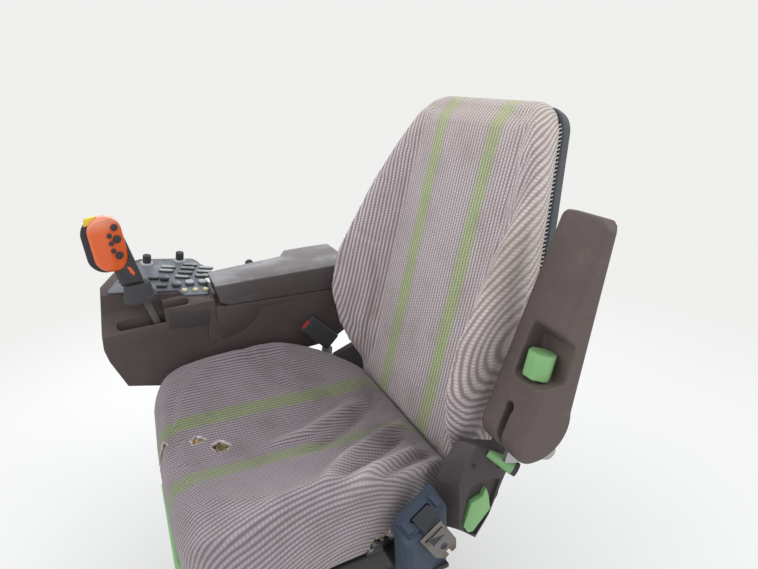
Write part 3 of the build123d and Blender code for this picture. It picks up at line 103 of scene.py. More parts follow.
def smooth_step(value: np.ndarray, low: float, high: float) -> np.ndarray:
    """Rises smoothly from 0 at low to 1 at high."""
    share = np.clip((value - low) / (high - low), 0.0, 1.0)
    return share * share * (3 - 2 * share)


def linear(red: int, green: int, blue: int) -> Colour:
    """Turns an sRGB colour into linear light.

    Args:
        red: Level of red, from 0 to 255.
        green: Level of green.
        blue: Level of blue.

    Returns:
        The linear colour, from 0 to 1.
    """
    shares = (level / 255 for level in (red, green, blue))
    return tuple(share / 12.92 if share <= 0.04045 else ((share + 0.055) / 1.055) ** 2.4 for share in shares)


class Wire:
    """A number on its way through a material, so that shader maths reads as Python."""

    def __init__(self, paint: "Paint", socket: bpy.types.NodeSocket) -> None:
        """Wraps one output socket of a material under construction."""
        self.paint = paint
        self.socket = socket

    def __add__(self, other: "Wire | float") -> "Wire":
        """Sum of two numbers."""
        return self.paint.maths("ADD", self, other)

    __radd__ = __add__

    def __sub__(self, other: "Wire | float") -> "Wire":
        """Difference of two numbers."""
        return self.paint.maths("SUBTRACT", self, other)

    def __rsub__(self, other: float) -> "Wire":
        """A plain number less this one."""
        return self.paint.maths("SUBTRACT", other, self)

    def __mul__(self, other: "Wire | float") -> "Wire":
        """Product of two numbers."""
        return self.paint.maths("MULTIPLY", self, other)

    __rmul__ = __mul__

    def __truediv__(self, other: "Wire | float") -> "Wire":
        """One number divided by another."""
        return self.paint.maths("DIVIDE", self, other)

    def __abs__(self) -> "Wire":
        """The number without its sign."""
        return self.paint.maths("ABSOLUTE", self)

    def bounce(self, half: float) -> "Wire":
        """Runs up to half and back down, over and over."""
        return self.paint.maths("PINGPONG", self, half)

    def step(self, low: float, high: float) -> "Wire":
        """Turns the number into a smooth rise.

        Args:
            low: Where the rise starts, at 0.
            high: Where it ends, at 1.

        Returns:
            The rise.
        """
        node = self.paint.add(
            "ShaderNodeMapRange",
            {"interpolation_type": "SMOOTHSTEP"},
            {"Value": self, "From Min": low, "From Max": high, "To Min": 0.0, "To Max": 1.0},
        )
        return Wire(self.paint, node.outputs["Result"])


class Paint:
    """A material under construction."""

    def __init__(self, name: str) -> None:
        """Starts a material that holds only its output.

        Args:
            name: The material's name.
        """
        self.material = bpy.data.materials.new(name)
        self.material.use_nodes = True
        self.tree = self.material.node_tree
        self.tree.nodes.clear()
        self.output = self.tree.nodes.new("ShaderNodeOutputMaterial")

    def add(self, kind: str, settings: dict | None = None, sockets: dict | None = None) -> bpy.types.Node:
        """Adds any node.

        Args:
            kind: The node's type.
            settings: Properties of the node, set before its sockets.
            sockets: Values or links of its inputs, by name or number.

        Returns:
            The new node.
        """
        node = self.tree.nodes.new(kind)
        for key, value in (settings or {}).items():
            setattr(node, key, value)
        for key, value in (sockets or {}).items():
            self.feed(node.inputs[key], value)
        return node

    def feed(self, socket: bpy.types.NodeSocket, value: object) -> None:
        """Sets or links one input.

        Args:
            socket: The input.
            value: A Wire, an output socket, a number, or a tuple of numbers.
        """
        if isinstance(value, Wire):
            value = value.socket
        if isinstance(value, bpy.types.NodeSocket):
            self.tree.links.new(value, socket)
        elif isinstance(value, tuple) and len(value) == 3 and socket.type == "RGBA":
            socket.default_value = (*value, 1.0)
        else:
            socket.default_value = value

    def maths(self, operation: str, *values: "Wire | float") -> Wire:
        """Adds one Math node and returns its result."""
        node = self.add("ShaderNodeMath", {"operation": operation}, dict(enumerate(values)))
        return Wire(self, node.outputs[0])

    def mix(self, share: "Wire | float", first: object, second: object) -> bpy.types.NodeSocket:
        """Blends two colours: the first where share is 0, the second where it is 1."""
        node = self.add("ShaderNodeMix", {"data_type": "RGBA"}, {0: share, 6: first, 7: second})
        return node.outputs[2]

    def place(self) -> bpy.types.NodeSocket:
        """Object coordinates."""
        return self.add("ShaderNodeTexCoord").outputs["Object"]

    def facing_up(self) -> Wire:
        """How far the surface looks up, from -1 to 1."""
        normal = self.add("ShaderNodeTexCoord").outputs["Normal"]
        return Wire(self, self.add("ShaderNodeSeparateXYZ", None, {0: normal}).outputs["Z"])

    def stretched(self, scale: Point) -> bpy.types.NodeSocket:
        """Object coordinates drawn out by a scale for each axis."""
        node = self.add("ShaderNodeMapping", None, {"Vector": self.place(), "Scale": scale})
        return node.outputs["Vector"]

    def cloud(self, scale: float, detail: float = 3.0, vector: bpy.types.NodeSocket | None = None) -> Wire:
        """Adds soft noise.

        Args:
            scale: About how many lumps there are to the metre.
            detail: How many finer layers it has.
            vector: Coordinates other than the object's own.

        Returns:
            The noise, from 0 to 1.
        """
        source = vector or self.place()
        sockets = {"Vector": source, "Scale": scale, "Detail": detail, "Roughness": 0.55}
        return Wire(self, self.add("ShaderNodeTexNoise", None, sockets).outputs[0])

    def pits(self, scale: float) -> Wire:
        """Distance into a grain of cells, as moulded leather grain has."""
        node = self.add("ShaderNodeTexVoronoi", {"feature": "F1"}, {"Vector": self.place(), "Scale": scale})
        return Wire(self, node.outputs["Distance"])

    def mark(self, name: str) -> Wire:
        """A number painted on the mesh's points."""
        return Wire(self, self.add("ShaderNodeAttribute", {"attribute_name": name}).outputs["Fac"])

    def surface(
        self,
        colour: object,
        roughness: object,
        height: "Wire | None" = None,
        depth: float = 0.0005,
        metallic: float = 0.0,
        coat: float = 0.0,
        sheen: float = 0.0,
    ) -> bpy.types.Material:
        """Ends the material.

        Args:
            colour: Base colour, a colour or a socket.
            roughness: Roughness, a number or a Wire.
            height: What stands out of the surface, from 0 to 1.
            depth: How far a height of 1 stands out, in metres.
            metallic: 1 for bare metal.
            coat: Weight of a clear coat.
            sheen: Weight of the cloth's sheen.

        Returns:
            The material.
        """
        sockets = {"Base Color": colour, "Roughness": roughness, "Metallic": metallic}
        sockets |= {"Coat Weight": coat, "Coat Roughness": 0.15, "Sheen Weight": sheen}
        shader = self.add("ShaderNodeBsdfPrincipled", None, sockets)
        if height is not None:
            bump = self.add("ShaderNodeBump", None, {"Height": height, "Strength": 1.0, "Distance": depth})
            self.feed(shader.inputs["Normal"], bump.outputs["Normal"])
        self.feed(self.output.inputs["Surface"], shader.outputs["BSDF"])
        return self.material


@dataclass(frozen=True)
class Moulding:
    """Grained plastic moulding, rubbed paler and dusty on what faces up."""

    name: str
    colour: Colour
    worn: Colour
    roughness: float = 0.62
    grain_scale: float = 1100.0
    grain_depth: float = 0.00018
    dust: float = 0.35
    rub: float = 0.5

    def make(self) -> bpy.types.Material:
        """Builds the material.

        Returns:
            The material.
        """
        paint = Paint(self.name)
        patch = paint.cloud(9.0, 4.0).step(0.38, 0.72)
        fine = paint.cloud(160.0, 3.0)
        upward = paint.facing_up().step(0.25, 1.0)
        scuff = paint.cloud(38.0, 6.0, paint.stretched((1.0, 0.35, 1.0))).step(0.56, 0.72)
        share = patch * self.rub * 0.35 + upward * patch * self.dust + scuff * self.rub * 0.3
        tone = paint.mix(share, self.colour, self.worn)
        shade = tuple(channel * 0.72 for channel in self.colour)
        colour = paint.mix((1 - fine) * 0.35, tone, shade)
        grain = paint.pits(self.grain_scale)
        roughness = self.roughness + patch * 0.12 - scuff * 0.1
        return paint.surface(colour, roughness, grain * 0.8 + fine * 0.2, self.grain_depth)


@dataclass(frozen=True)
class Metal:
    """Metal, bare or painted, with fine scratches and stains."""

    name: str
    colour: Colour
    stain: Colour
    roughness: float = 0.42
    metallic: float = 1.0
    stained: float = 0.5

    def make(self) -> bpy.types.Material:
        """Builds the material.

        Returns:
            The material.
        """
        paint = Paint(self.name)
        stain = paint.cloud(26.0, 6.0).step(0.45, 0.75)
        scratch = paint.cloud(150.0, 5.0, paint.stretched((8.0, 1.0, 8.0)))
        colour = paint.mix(stain * self.stained, self.colour, self.stain)
        roughness = self.roughness + stain * 0.2 + scratch * 0.12
        return paint.surface(colour, roughness, scratch * 0.6 + stain * 0.4, 0.00008, metallic=self.metallic)


@dataclass(frozen=True)
class Rubber:
    """Soft black rubber with a dusty bloom."""

    name: str
    colour: Colour
    bloom: Colour

    def make(self) -> bpy.types.Material:
        """Builds the material.

        Returns:
            The material.
        """
        paint = Paint(self.name)
        bloom = paint.cloud(20.0, 5.0).step(0.4, 0.8) * (0.25 + paint.facing_up().step(0.0, 1.0) * 0.6)
        colour = paint.mix(bloom, self.colour, self.bloom)
        return paint.surface(colour, 0.72 + bloom * 0.2, paint.cloud(700.0, 3.0), 0.00012)


@dataclass(frozen=True)
class Gloss:
    """Smooth plastic with fine scratches, bleached by sunlight at its top."""

    name: str
    colour: Colour
    bleached: Colour
    bleach_low: float = 10.0
    bleach_high: float = 11.0
    roughness: float = 0.28
    coat: float = 0.3

    def make(self) -> bpy.types.Material:
        """Builds the material.

        Returns:
            The material.
        """
        paint = Paint(self.name)
        height = Wire(paint, paint.add("ShaderNodeSeparateXYZ", None, {0: paint.place()}).outputs["Z"])
        patch = paint.cloud(60.0, 4.0)
        share = (height + patch * 0.012).step(self.bleach_low, self.bleach_high)
        scratch = paint.cloud(420.0, 4.0, paint.stretched((1.0, 5.0, 1.0)))
        colour = paint.mix(share * 0.75 + patch * 0.12, self.colour, self.bleached)
        roughness = self.roughness + scratch * 0.15 + share * 0.2
        return paint.surface(colour, roughness, scratch, 0.00004, coat=self.coat)


@dataclass(frozen=True)
class RibbedCloth:
    """Woven seat cloth: raised ribs along the seat, two coloured stripes, soiling with painted shade and
    highlight, and worn holes.

    The weave map holds metres across the cloth and along it.
    """

    name: str
    rib: Colour
    groove: Colour
    stripe_rib: Colour
    stripe_groove: Colour
    soil_and_shade: Colour
    bleach_and_highlight: Colour
    foam: Colour
    pitch: float = 8.4 * MM
    stitch: float = 6.2 * MM
    stripe_at: float = 89 * MM
    stripe_half: float = 23 * MM

    def make(self) -> bpy.types.Material:
        """Builds the material.

        Returns:
            The material.
        """
        paint = Paint(self.name)
        weave = paint.add("ShaderNodeUVMap", {"uv_map": "weave"}).outputs["UV"]
        split = paint.add("ShaderNodeSeparateXYZ", None, {0: weave})
        wander = (paint.cloud(9.0, 1.0) - 0.5) * 0.003
        across = Wire(paint, split.outputs["X"]) + wander
        along = Wire(paint, split.outputs["Y"])
        phase = across / self.pitch
        ridge = phase.bounce(0.5) * 2.0
        rib = ridge.step(0.12, 0.8)
        row = along / self.stitch + (phase + 0.5).bounce(1.0) * 0.5
        loop = (row.bounce(0.5) * 2.0).step(0.1, 0.75)
        fuzz = paint.cloud(900.0, 3.0)
        raised = rib * (0.55 + loop * 0.45)
        stripe = 1 - abs(abs(across) - self.stripe_at).step(self.stripe_half * 0.62, self.stripe_half)
        seam = 1 - abs(abs(across) - (self.stripe_at - self.stripe_half)).step(0.0008, 0.003)
        high = paint.mix(stripe, self.rib, self.stripe_rib)
        low = paint.mix(stripe, self.groove, self.stripe_groove)
        colour = paint.mix(raised * 0.9 + fuzz * 0.1, low, high)
        colour = paint.mix(seam * 0.35, colour, self.groove)
        # Sun bleaching, plus a painted highlight along the raised folds of the seat cushion.
        sun_and_highlight = paint.mark("sun_and_highlight") * (0.55 + rib * 0.45)
        colour = paint.mix(sun_and_highlight, colour, self.bleach_and_highlight)
        # Darkens with random blotches of soiling and with the painted mark, which holds painted shade in the
        # fold valleys and under the backrest, soiling where the seat is sat on, and darkening towards the
        # cushions' bottoms.
        blotch = paint.cloud(13.0, 5.0).step(0.42, 0.78)
        dirt_and_shade = blotch * 0.3 + paint.mark("soil_and_shade") * (0.55 + blotch * 0.45)
        colour = paint.mix(dirt_and_shade, colour, self.soil_and_shade)
        frayed = paint.mark("frayed") * (0.5 + fuzz)
        colour = paint.mix(frayed, colour, self.bleach_and_highlight)
        hole = (paint.mark("worn") + (fuzz - 0.5) * 0.4).step(0.45, 0.62)
        crumb = paint.cloud(260.0, 5.0).step(0.38, 0.6)
        foam = paint.mix(crumb, tuple(channel * 0.4 for channel in self.foam), self.foam)
        # Painted shade: the foam deep in the holes is darkened nearly to black.
        hole_shade = tuple(channel * 0.08 for channel in self.foam)
        foam = paint.mix(paint.mark("hole_shade") * (1.15 - crumb * 0.75), foam, hole_shade)
        colour = paint.mix(hole, colour, foam)
        height = raised * (1 - hole) + fuzz * 0.25 + crumb * hole
        return paint.surface(colour, 0.9, height, 0.0011, sheen=0.25)


@dataclass(frozen=True)
class Webbing:
    """Belt webbing, woven in fine diagonal rows."""

    name: str
    colour: Colour
    pale: Colour

    def make(self) -> bpy.types.Material:
        """Builds the material.

        Returns:
            The material.
        """
        paint = Paint(self.name)
        rows = (paint.cloud(700.0, 2.0, paint.stretched((3.0, 1.0, 3.0)))).step(0.4, 0.6)
        colour = paint.mix(rows * 0.5, self.colour, self.pale)
        return paint.surface(colour, 0.85, rows, 0.0003, sheen=0.2)


class Finish(Enum):
    """Every finish on the seat."""

    # The same cloth as the back's, painted darker all over: painted shade.
    CUSHION_CLOTH_SHADED = RibbedCloth(
        "cushion_cloth",
        rib=linear(160, 148, 155),
        groove=linear(86, 75, 82),
        stripe_rib=linear(142, 152, 112),
        stripe_groove=linear(86, 96, 62),
        soil_and_shade=linear(80, 68, 68),
        bleach_and_highlight=linear(208, 198, 200),
        pitch=7.4 * MM,
        foam=linear(190, 160, 100),
    )
    BACK_CLOTH = RibbedCloth(
        "back_cloth",
        rib=linear(216, 205, 208),
        groove=linear(128, 113, 118),
        stripe_rib=linear(190, 200, 154),
        stripe_groove=linear(122, 134, 92),
        soil_and_shade=linear(128, 108, 100),
        bleach_and_highlight=linear(226, 212, 186),
        foam=linear(190, 160, 100),
    )
    BROWN = Moulding("brown_moulding", linear(88, 76, 74), linear(128, 114, 110))
    CONSOLE = Moulding("console_moulding", linear(74, 62, 61), linear(104, 92, 90))
    COVER = Moulding("cover_moulding", linear(66, 58, 60), linear(112, 102, 100))
    PAD = Moulding(
        "pad_skin",
        linear(80, 72, 72),
        linear(150, 152, 158),
        roughness=0.5,
        dust=0.95,
        rub=0.35,
        grain_scale=800.0,
    )
    PANEL = Moulding("panel_skin", linear(84, 88, 98), linear(134, 140, 150), roughness=0.5, dust=0.6)
    PLATE = Moulding("blank_plate", linear(56, 50, 51), linear(96, 90, 90), roughness=0.55, grain_scale=420.0)
    KEY = Moulding(
        "key_rubber", linear(58, 59, 64), linear(178, 178, 182), roughness=0.45, dust=1.1, grain_depth=0.00008
    )
    LAMP = Moulding(
        "lamp_key", linear(196, 188, 140), linear(214, 208, 176), roughness=0.4, grain_depth=0.00006
    )
    SKIRT = Moulding(
        "knob_skirt", linear(176, 178, 184), linear(206, 208, 212), roughness=0.5, grain_depth=0.00008
    )
    BLACK = Moulding("black_plastic", linear(28, 28, 31), linear(74, 74, 78), roughness=0.45, dust=0.3)
    SHELL = Moulding("back_shell_plastic", linear(70, 74, 78), linear(128, 134, 138), dust=0.5, rub=0.35)
    NAVY = Moulding(
        "belt_housing", linear(40, 54, 74), linear(92, 106, 124), roughness=0.5, dust=0.5, rub=0.7
    )
    GREEN = Moulding("green_handle", linear(126, 176, 116), linear(166, 204, 154), roughness=0.45, rub=0.3)
    FRAME = Metal("frame_paint", linear(40, 40, 43), linear(82, 72, 62), roughness=0.45, metallic=0.0)
    STEEL = Metal("bare_steel", linear(150, 148, 144), linear(110, 96, 80), roughness=0.38)
    DULL_STEEL = Metal("dull_steel", linear(108, 108, 108), linear(78, 72, 66), roughness=0.45, stained=0.7)
    LATCH = Metal("latch_plating", linear(126, 122, 120), linear(122, 96, 74), roughness=0.4, stained=0.6)
    BELLOWS = Rubber("bellows_rubber", linear(34, 34, 36), linear(92, 86, 80))
    BOOT = Rubber("boot_rubber", linear(44, 45, 50), linear(98, 98, 104))
    ORANGE = Gloss(
        "orange_shell",
        linear(220, 88, 12),
        linear(232, 150, 122),
        bleach_low=0.895,
        bleach_high=0.925,
        roughness=0.3,
    )
    RED = Gloss("red_button", linear(176, 40, 40), linear(210, 110, 100), roughness=0.35)
    YELLOW = Gloss("yellow_switch", linear(222, 190, 40), linear(230, 210, 120), roughness=0.35)
    LACE = Webbing("edge_lace", linear(206, 208, 212), linear(236, 236, 236))
    BELT = Webbing("belt_webbing_cloth", linear(34, 36, 42), linear(78, 80, 88))
    THREAD = Webbing("loose_thread", linear(186, 176, 166), linear(226, 218, 206))

    @property
    def material(self) -> bpy.types.Material:
        """The finish's material, built when it is first asked for."""
        return bpy.data.materials.get(self.value.name) or self.value.make()


@contextmanager
def editing(mesh: bpy.types.Mesh) -> Iterator[bmesh.types.BMesh]:
    """Opens a mesh for editing and writes the result back to it.

    Args:
        mesh: The mesh.

    Yields:
        The mesh in its editable form.
    """
    work = bmesh.new()
    work.from_mesh(mesh)
    yield work
    work.to_mesh(mesh)
    work.free()


def mesh_object(
    name: str,
    points: Sequence,
    faces: Sequence,
    finish: Finish | None = None,
    edges: Sequence = (),
) -> bpy.types.Object:
    """Makes a mesh object from points and faces.

    Args:
        name: The piece's name.
        points: Places of its points, in metres.
        faces: Rows of point numbers, turning anticlockwise seen from outside.
        finish: What covers it.
        edges: Pairs of point numbers, for a path.

    Returns:
        The object, linked to the scene.
    """
    mesh = bpy.data.meshes.new(name)
    mesh.from_pydata([tuple(point) for point in points], edges, [tuple(face) for face in faces])
    mesh.update()
    made = bpy.data.objects.new(name, mesh)
    bpy.context.scene.collection.objects.link(made)
    if finish is not None:
        mesh.materials.append(finish.material)
    return made


def spots_object(name: str, rows: Sequence[tuple[Sequence[float], Sequence[float]]]) -> bpy.types.Object:
    """Makes an object of loose points on which a node tree stands pieces.

    Args:
        name: The object's name.
        rows: The place of each point, and the axis of the piece that stands there.

    Returns:
        The object, linked to the scene.
    """
    made = mesh_object(name, [place for place, _ in rows], [])
    axis = made.data.attributes.new("axis", "FLOAT_VECTOR", "POINT")
    axis.data.foreach_set("vector", [part for _, way in rows for part in way])
    return made


def apply_modifiers(piece: bpy.types.Object) -> bpy.types.Object:
    """Turns what a piece's modifiers show into its plain mesh.

    Args:
        piece: The piece.

    Returns:
        The same piece, without modifiers.
    """
    graph = bpy.context.evaluated_depsgraph_get()
    shown = piece.evaluated_get(graph)
    mesh = bpy.data.meshes.new_from_object(shown, preserve_all_data_layers=True, depsgraph=graph)
    piece.modifiers.clear()
    old = piece.data
    piece.data = mesh
    bpy.data.meshes.remove(old)
    return piece


def merged_copy(node: bpy.types.Object, name: str) -> bpy.types.Object:
    """Copies a drawn solid as a closed mesh with its flat faces joined up.

    Args:
        node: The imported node.
        name: The copy's name.

    Returns:
        The copy, linked to the scene and without a parent.
    """
    mesh = node.data.copy()
    mesh.name = name
    mesh.materials.clear()
    with editing(mesh) as work:
        bmesh.ops.remove_doubles(work, verts=work.verts, dist=0.02 * MM)
        bmesh.ops.dissolve_limit(work, angle_limit=math.radians(0.6), verts=work.verts, edges=work.edges)
    made = bpy.data.objects.new(name, mesh)
    bpy.context.scene.collection.objects.link(made)
    return made


def shade_smooth(piece: bpy.types.Object, crease: float = 40.0) -> None:
    """Shades a mesh round, apart from edges sharper than the crease angle in degrees."""
    piece.data.shade_smooth()
    piece.data.set_sharp_from_angle(angle=math.radians(crease))


class Patterns:
    """Node trees that lay a small piece along a path or at marked spots."""

    _trees: dict[str, bpy.types.NodeTree] = {}

    @staticmethod
    def _inputs(number: str) -> list[tuple[str, str]]:
        """The inputs of a tree: the piece, one number and the material."""
        kinds = {"Piece": "NodeSocketObject", number: "NodeSocketFloat", "Material": "NodeSocketMaterial"}
        return list(kinds.items())

    @staticmethod
    def _open(name: str, inputs: Sequence[tuple[str, str]]) -> bpy.types.NodeTree:
        """Starts a tree.

        Args:
            name: The tree's name.
            inputs: Name and type of every input beside the path.

        Returns:
            The tree, with its inputs and its output.
        """
        tree = bpy.data.node_groups.new(name, "GeometryNodeTree")
        tree.interface.new_socket(name="Path", in_out="INPUT", socket_type="NodeSocketGeometry")
        for label, kind in inputs:
            tree.interface.new_socket(name=label, in_out="INPUT", socket_type=kind)
        tree.interface.new_socket(name="Pieces", in_out="OUTPUT", socket_type="NodeSocketGeometry")
        return tree

    @staticmethod
    def _close(tree: bpy.types.NodeTree, start: bpy.types.Node, instances: bpy.types.NodeSocket) -> None:
        """Ends a tree: instances are made real and get their material.

        Args:
            tree: The tree.
            start: Its input node.
            instances: The socket that gives the instances.
        """
        real = tree.nodes.new("GeometryNodeRealizeInstances")
        paint = tree.nodes.new("GeometryNodeSetMaterial")
        end = tree.nodes.new("NodeGroupOutput")
        tree.links.new(instances, real.inputs[0])
        tree.links.new(real.outputs[0], paint.inputs["Geometry"])
        tree.links.new(start.outputs["Material"], paint.inputs["Material"])
        tree.links.new(paint.outputs[0], end.inputs[0])

    @classmethod
    def along_path(cls) -> bpy.types.NodeTree:
        """Builds the tree that lays a piece along a path at an even pitch, turned to the path.

        Returns:
            The tree, the same one each time.
        """
        if "along" in cls._trees:
            return cls._trees["along"]
        tree = cls._open("lay_along_path", cls._inputs("Pitch"))
        start = tree.nodes.new("NodeGroupInput")
        curve = tree.nodes.new("GeometryNodeMeshToCurve")
        points = tree.nodes.new("GeometryNodeCurveToPoints")
        points.mode = "LENGTH"
        info = tree.nodes.new("GeometryNodeObjectInfo")
        lay = tree.nodes.new("GeometryNodeInstanceOnPoints")
        tree.links.new(start.outputs["Path"], curve.inputs[0])
        tree.links.new(curve.outputs[0], points.inputs["Curve"])
        tree.links.new(start.outputs["Pitch"], points.inputs["Length"])
        tree.links.new(start.outputs["Piece"], info.inputs["Object"])
        tree.links.new(points.outputs["Points"], lay.inputs["Points"])
        tree.links.new(points.outputs["Rotation"], lay.inputs["Rotation"])
        tree.links.new(info.outputs["Geometry"], lay.inputs["Instance"])
        cls._close(tree, start, lay.outputs[0])
        cls._trees["along"] = tree
        return tree

    @classmethod
    def at_spots(cls) -> bpy.types.NodeTree:
        """Builds the tree that stands a piece on every point of the path, turned to the point's `axis`.

        Returns:
            The tree, the same one each time.
        """
        if "spots" in cls._trees:
            return cls._trees["spots"]
        tree = cls._open("stand_at_spots", cls._inputs("Size"))
        start = tree.nodes.new("NodeGroupInput")
        axis = tree.nodes.new("GeometryNodeInputNamedAttribute")
        axis.data_type = "FLOAT_VECTOR"
        axis.inputs["Name"].default_value = "axis"
        turn = tree.nodes.new("FunctionNodeAlignRotationToVector")
        turn.axis = "Z"
        info = tree.nodes.new("GeometryNodeObjectInfo")
        lay = tree.nodes.new("GeometryNodeInstanceOnPoints")
        tree.links.new(start.outputs["Path"], lay.inputs["Points"])
        tree.links.new(axis.outputs["Attribute"], turn.inputs["Vector"])
        tree.links.new(turn.outputs[0], lay.inputs["Rotation"])
        tree.links.new(start.outputs["Size"], lay.inputs["Scale"])
        tree.links.new(start.outputs["Piece"], info.inputs["Object"])
        tree.links.new(info.outputs["Geometry"], lay.inputs["Instance"])
        cls._close(tree, start, lay.outputs[0])
        cls._trees["spots"] = tree
        return tree

    @staticmethod
    def run(
        path: bpy.types.Object,
        tree: bpy.types.NodeTree,
        finish: Finish,
        piece: bpy.types.Object,
        number: float,
    ) -> bpy.types.Object:
        """Runs a tree on a path object and keeps the result as its plain mesh.

        Args:
            path: Object whose mesh is the path or the spots.
            tree: The node tree.
            finish: What covers the pieces.
            piece: The small piece that is repeated; it is deleted afterwards.
            number: The tree's size or pitch, in metres or as a share.

        Returns:
            The path object, now the finished pieces.
        """
        modifier = path.modifiers.new("pattern", "NODES")
        modifier.node_group = tree
        values = {"Piece": piece, "Pitch": number, "Size": number, "Material": finish.material}
        for item in tree.interface.items_tree:
            if item.item_type == "SOCKET" and item.in_out == "INPUT" and item.name in values:
                modifier[item.identifier] = values[item.name]
        apply_modifiers(path)
        bpy.data.objects.remove(piece)
        return path


@dataclass
class SubAssembly:
    """A group of pieces that is dressed together.
    """

    frame: dict

    def node(self, name: str) -> bpy.types.Object:
        """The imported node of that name."""
        return self.frame["nodes"][name]

    def slot_of(self, name: str) -> str:
        """The record's material slot of a node."""
        rows = self.frame["record"]["subparts"]
        return next(row["material_slot"] for row in rows if row["node"] == name)

    def carry(self, name: str, finish: Finish) -> None:
        """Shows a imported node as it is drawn.

        Args:
            name: The node.
            finish: What covers it.
        """
        mesh = self.node(name).data
        mesh.materials.clear()
        mesh.materials.append(finish.material)
        LOG.info("%s: drawn solid, %s", name, finish.value.name)

    def ride(self, piece: bpy.types.Object, node: str, replaces: bool = False) -> bpy.types.Object:
        """Makes a piece move with a node's body.

        Args:
            piece: The piece.
            node: The node.
            replaces: Whether the piece stands for the node.

        Returns:
            The piece.
        """
        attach(piece, self.node(node)["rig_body"])
        self.slot_of(node)
        if replaces:
            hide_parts(node)
        LOG.info("%s: %d faces", piece.name, len(piece.data.polygons))
        return piece

    def round_off(self, name: str, finish: Finish, radius: float, segments: int = 3) -> bpy.types.Object:
        """Replaces a node by a copy with its sharp edges rounded.

        Args:
            name: The node.
            finish: What covers it.
            radius: How much of each edge is taken off, in metres.
            segments: Faces across each rounded edge.

        Returns:
            The rounded piece.
        """
        piece = merged_copy(self.node(name), name + "_rounded")
        piece.data.materials.append(finish.material)
        bevel = piece.modifiers.new("edges", "BEVEL")
        bevel.width = radius
        bevel.segments = segments
        bevel.limit_method = "ANGLE"
        bevel.angle_limit = math.radians(28)
        bevel.miter_outer = "MITER_ARC"
        apply_modifiers(piece)
        shade_smooth(piece, 32.0)
        return self.ride(piece, name, replaces=True)

    def cast(self, name: str, finish: Finish, grain: float, rounds: int) -> bpy.types.Object:
        """Replaces a node by an evenly meshed copy whose edges are rubbed round.

        Args:
            name: The node.
            finish: What covers it.
            grain: Size of the mesh's squares, in metres.
            rounds: How often the mesh is smoothed.

        Returns:
            The cast piece, which rides on nothing yet.
        """
        piece = merged_copy(self.node(name), name + "_cast")
        remesh = piece.modifiers.new("grain", "REMESH")
        remesh.mode = "VOXEL"
        remesh.voxel_size = grain
        apply_modifiers(piece)
        axes = {"use_axis_x": True, "use_axis_y": True, "use_axis_z": True}
        with editing(piece.data) as work:
            for _ in range(rounds):
                bmesh.ops.smooth_vert(work, verts=work.verts, factor=0.5, **axes)
        piece.data.materials.clear()
        piece.data.materials.append(finish.material)
        piece.data.shade_smooth()
        return piece


def read_rows(source: bpy.types.bpy_prop_collection, key: str, kind: type, width: int) -> np.ndarray:
    """Reads one value of every point, edge or loop of a mesh.

    Args:
        source: The points, edges or loops.
        key: The value's name.
        kind: The type of its numbers.
        width: How many numbers it has.

    Returns:
        The values as rows.
    """
    flat = np.empty(len(source) * width, kind)
    source.foreach_get(key, flat)
    return flat.reshape(-1, width)


def points_of(piece: bpy.types.Object) -> np.ndarray:
    """The mesh's points as rows."""
    return read_rows(piece.data.vertices, "co", np.float64, 3)


def normals_of(piece: bpy.types.Object) -> np.ndarray:
    """The mesh's point normals as rows."""
    return read_rows(piece.data.vertices, "normal", np.float64, 3)


def move_points(piece: bpy.types.Object, places: np.ndarray) -> None:
    """Puts the mesh's points at new places."""
    piece.data.vertices.foreach_set("co", places.astype(np.float32).ravel())
    piece.data.update()


def paint_points(piece: bpy.types.Object, name: str, values: np.ndarray) -> None:
    """Keeps a number for every point under a name that materials read."""
    attribute = piece.data.attributes.new(name, "FLOAT", "POINT")
    attribute.data.foreach_set("value", values.astype(np.float32))


def distance_to_line(
    places: np.ndarray, line: Sequence[tuple[float, float]]
) -> tuple[np.ndarray, np.ndarray]:
    """Distance of places in a plane to a broken line, and the share of the line passed there.

    Args:
        places: Rows of two coordinates.
        line: The line's points.

    Returns:
        Signed distance, positive to the right of the line, and share from 0 to 1.
    """
    best = np.full(len(places), 1e9)
    share = np.zeros(len(places))
    corners = np.array(line, float)
    steps = np.linalg.norm(np.diff(corners, axis=0), axis=1)
    total = steps.sum()
    passed = 0.0
    for start, end, step in zip(corners[:-1], corners[1:], steps):
        run = (end - start) / step
        offset = places - start
        ahead = np.clip(offset @ run, 0, step)
        gap = offset - ahead[:, None] * run
        size = np.linalg.norm(gap, axis=1)
        side = np.sign(offset[:, 0] * run[1] - offset[:, 1] * run[0])
        closer = size < np.abs(best)
        best = np.where(closer, size * side, best)
        share = np.where(closer, (passed + ahead) / total, share)
        passed += step
    return best, share


AIR_FRAMES = 14


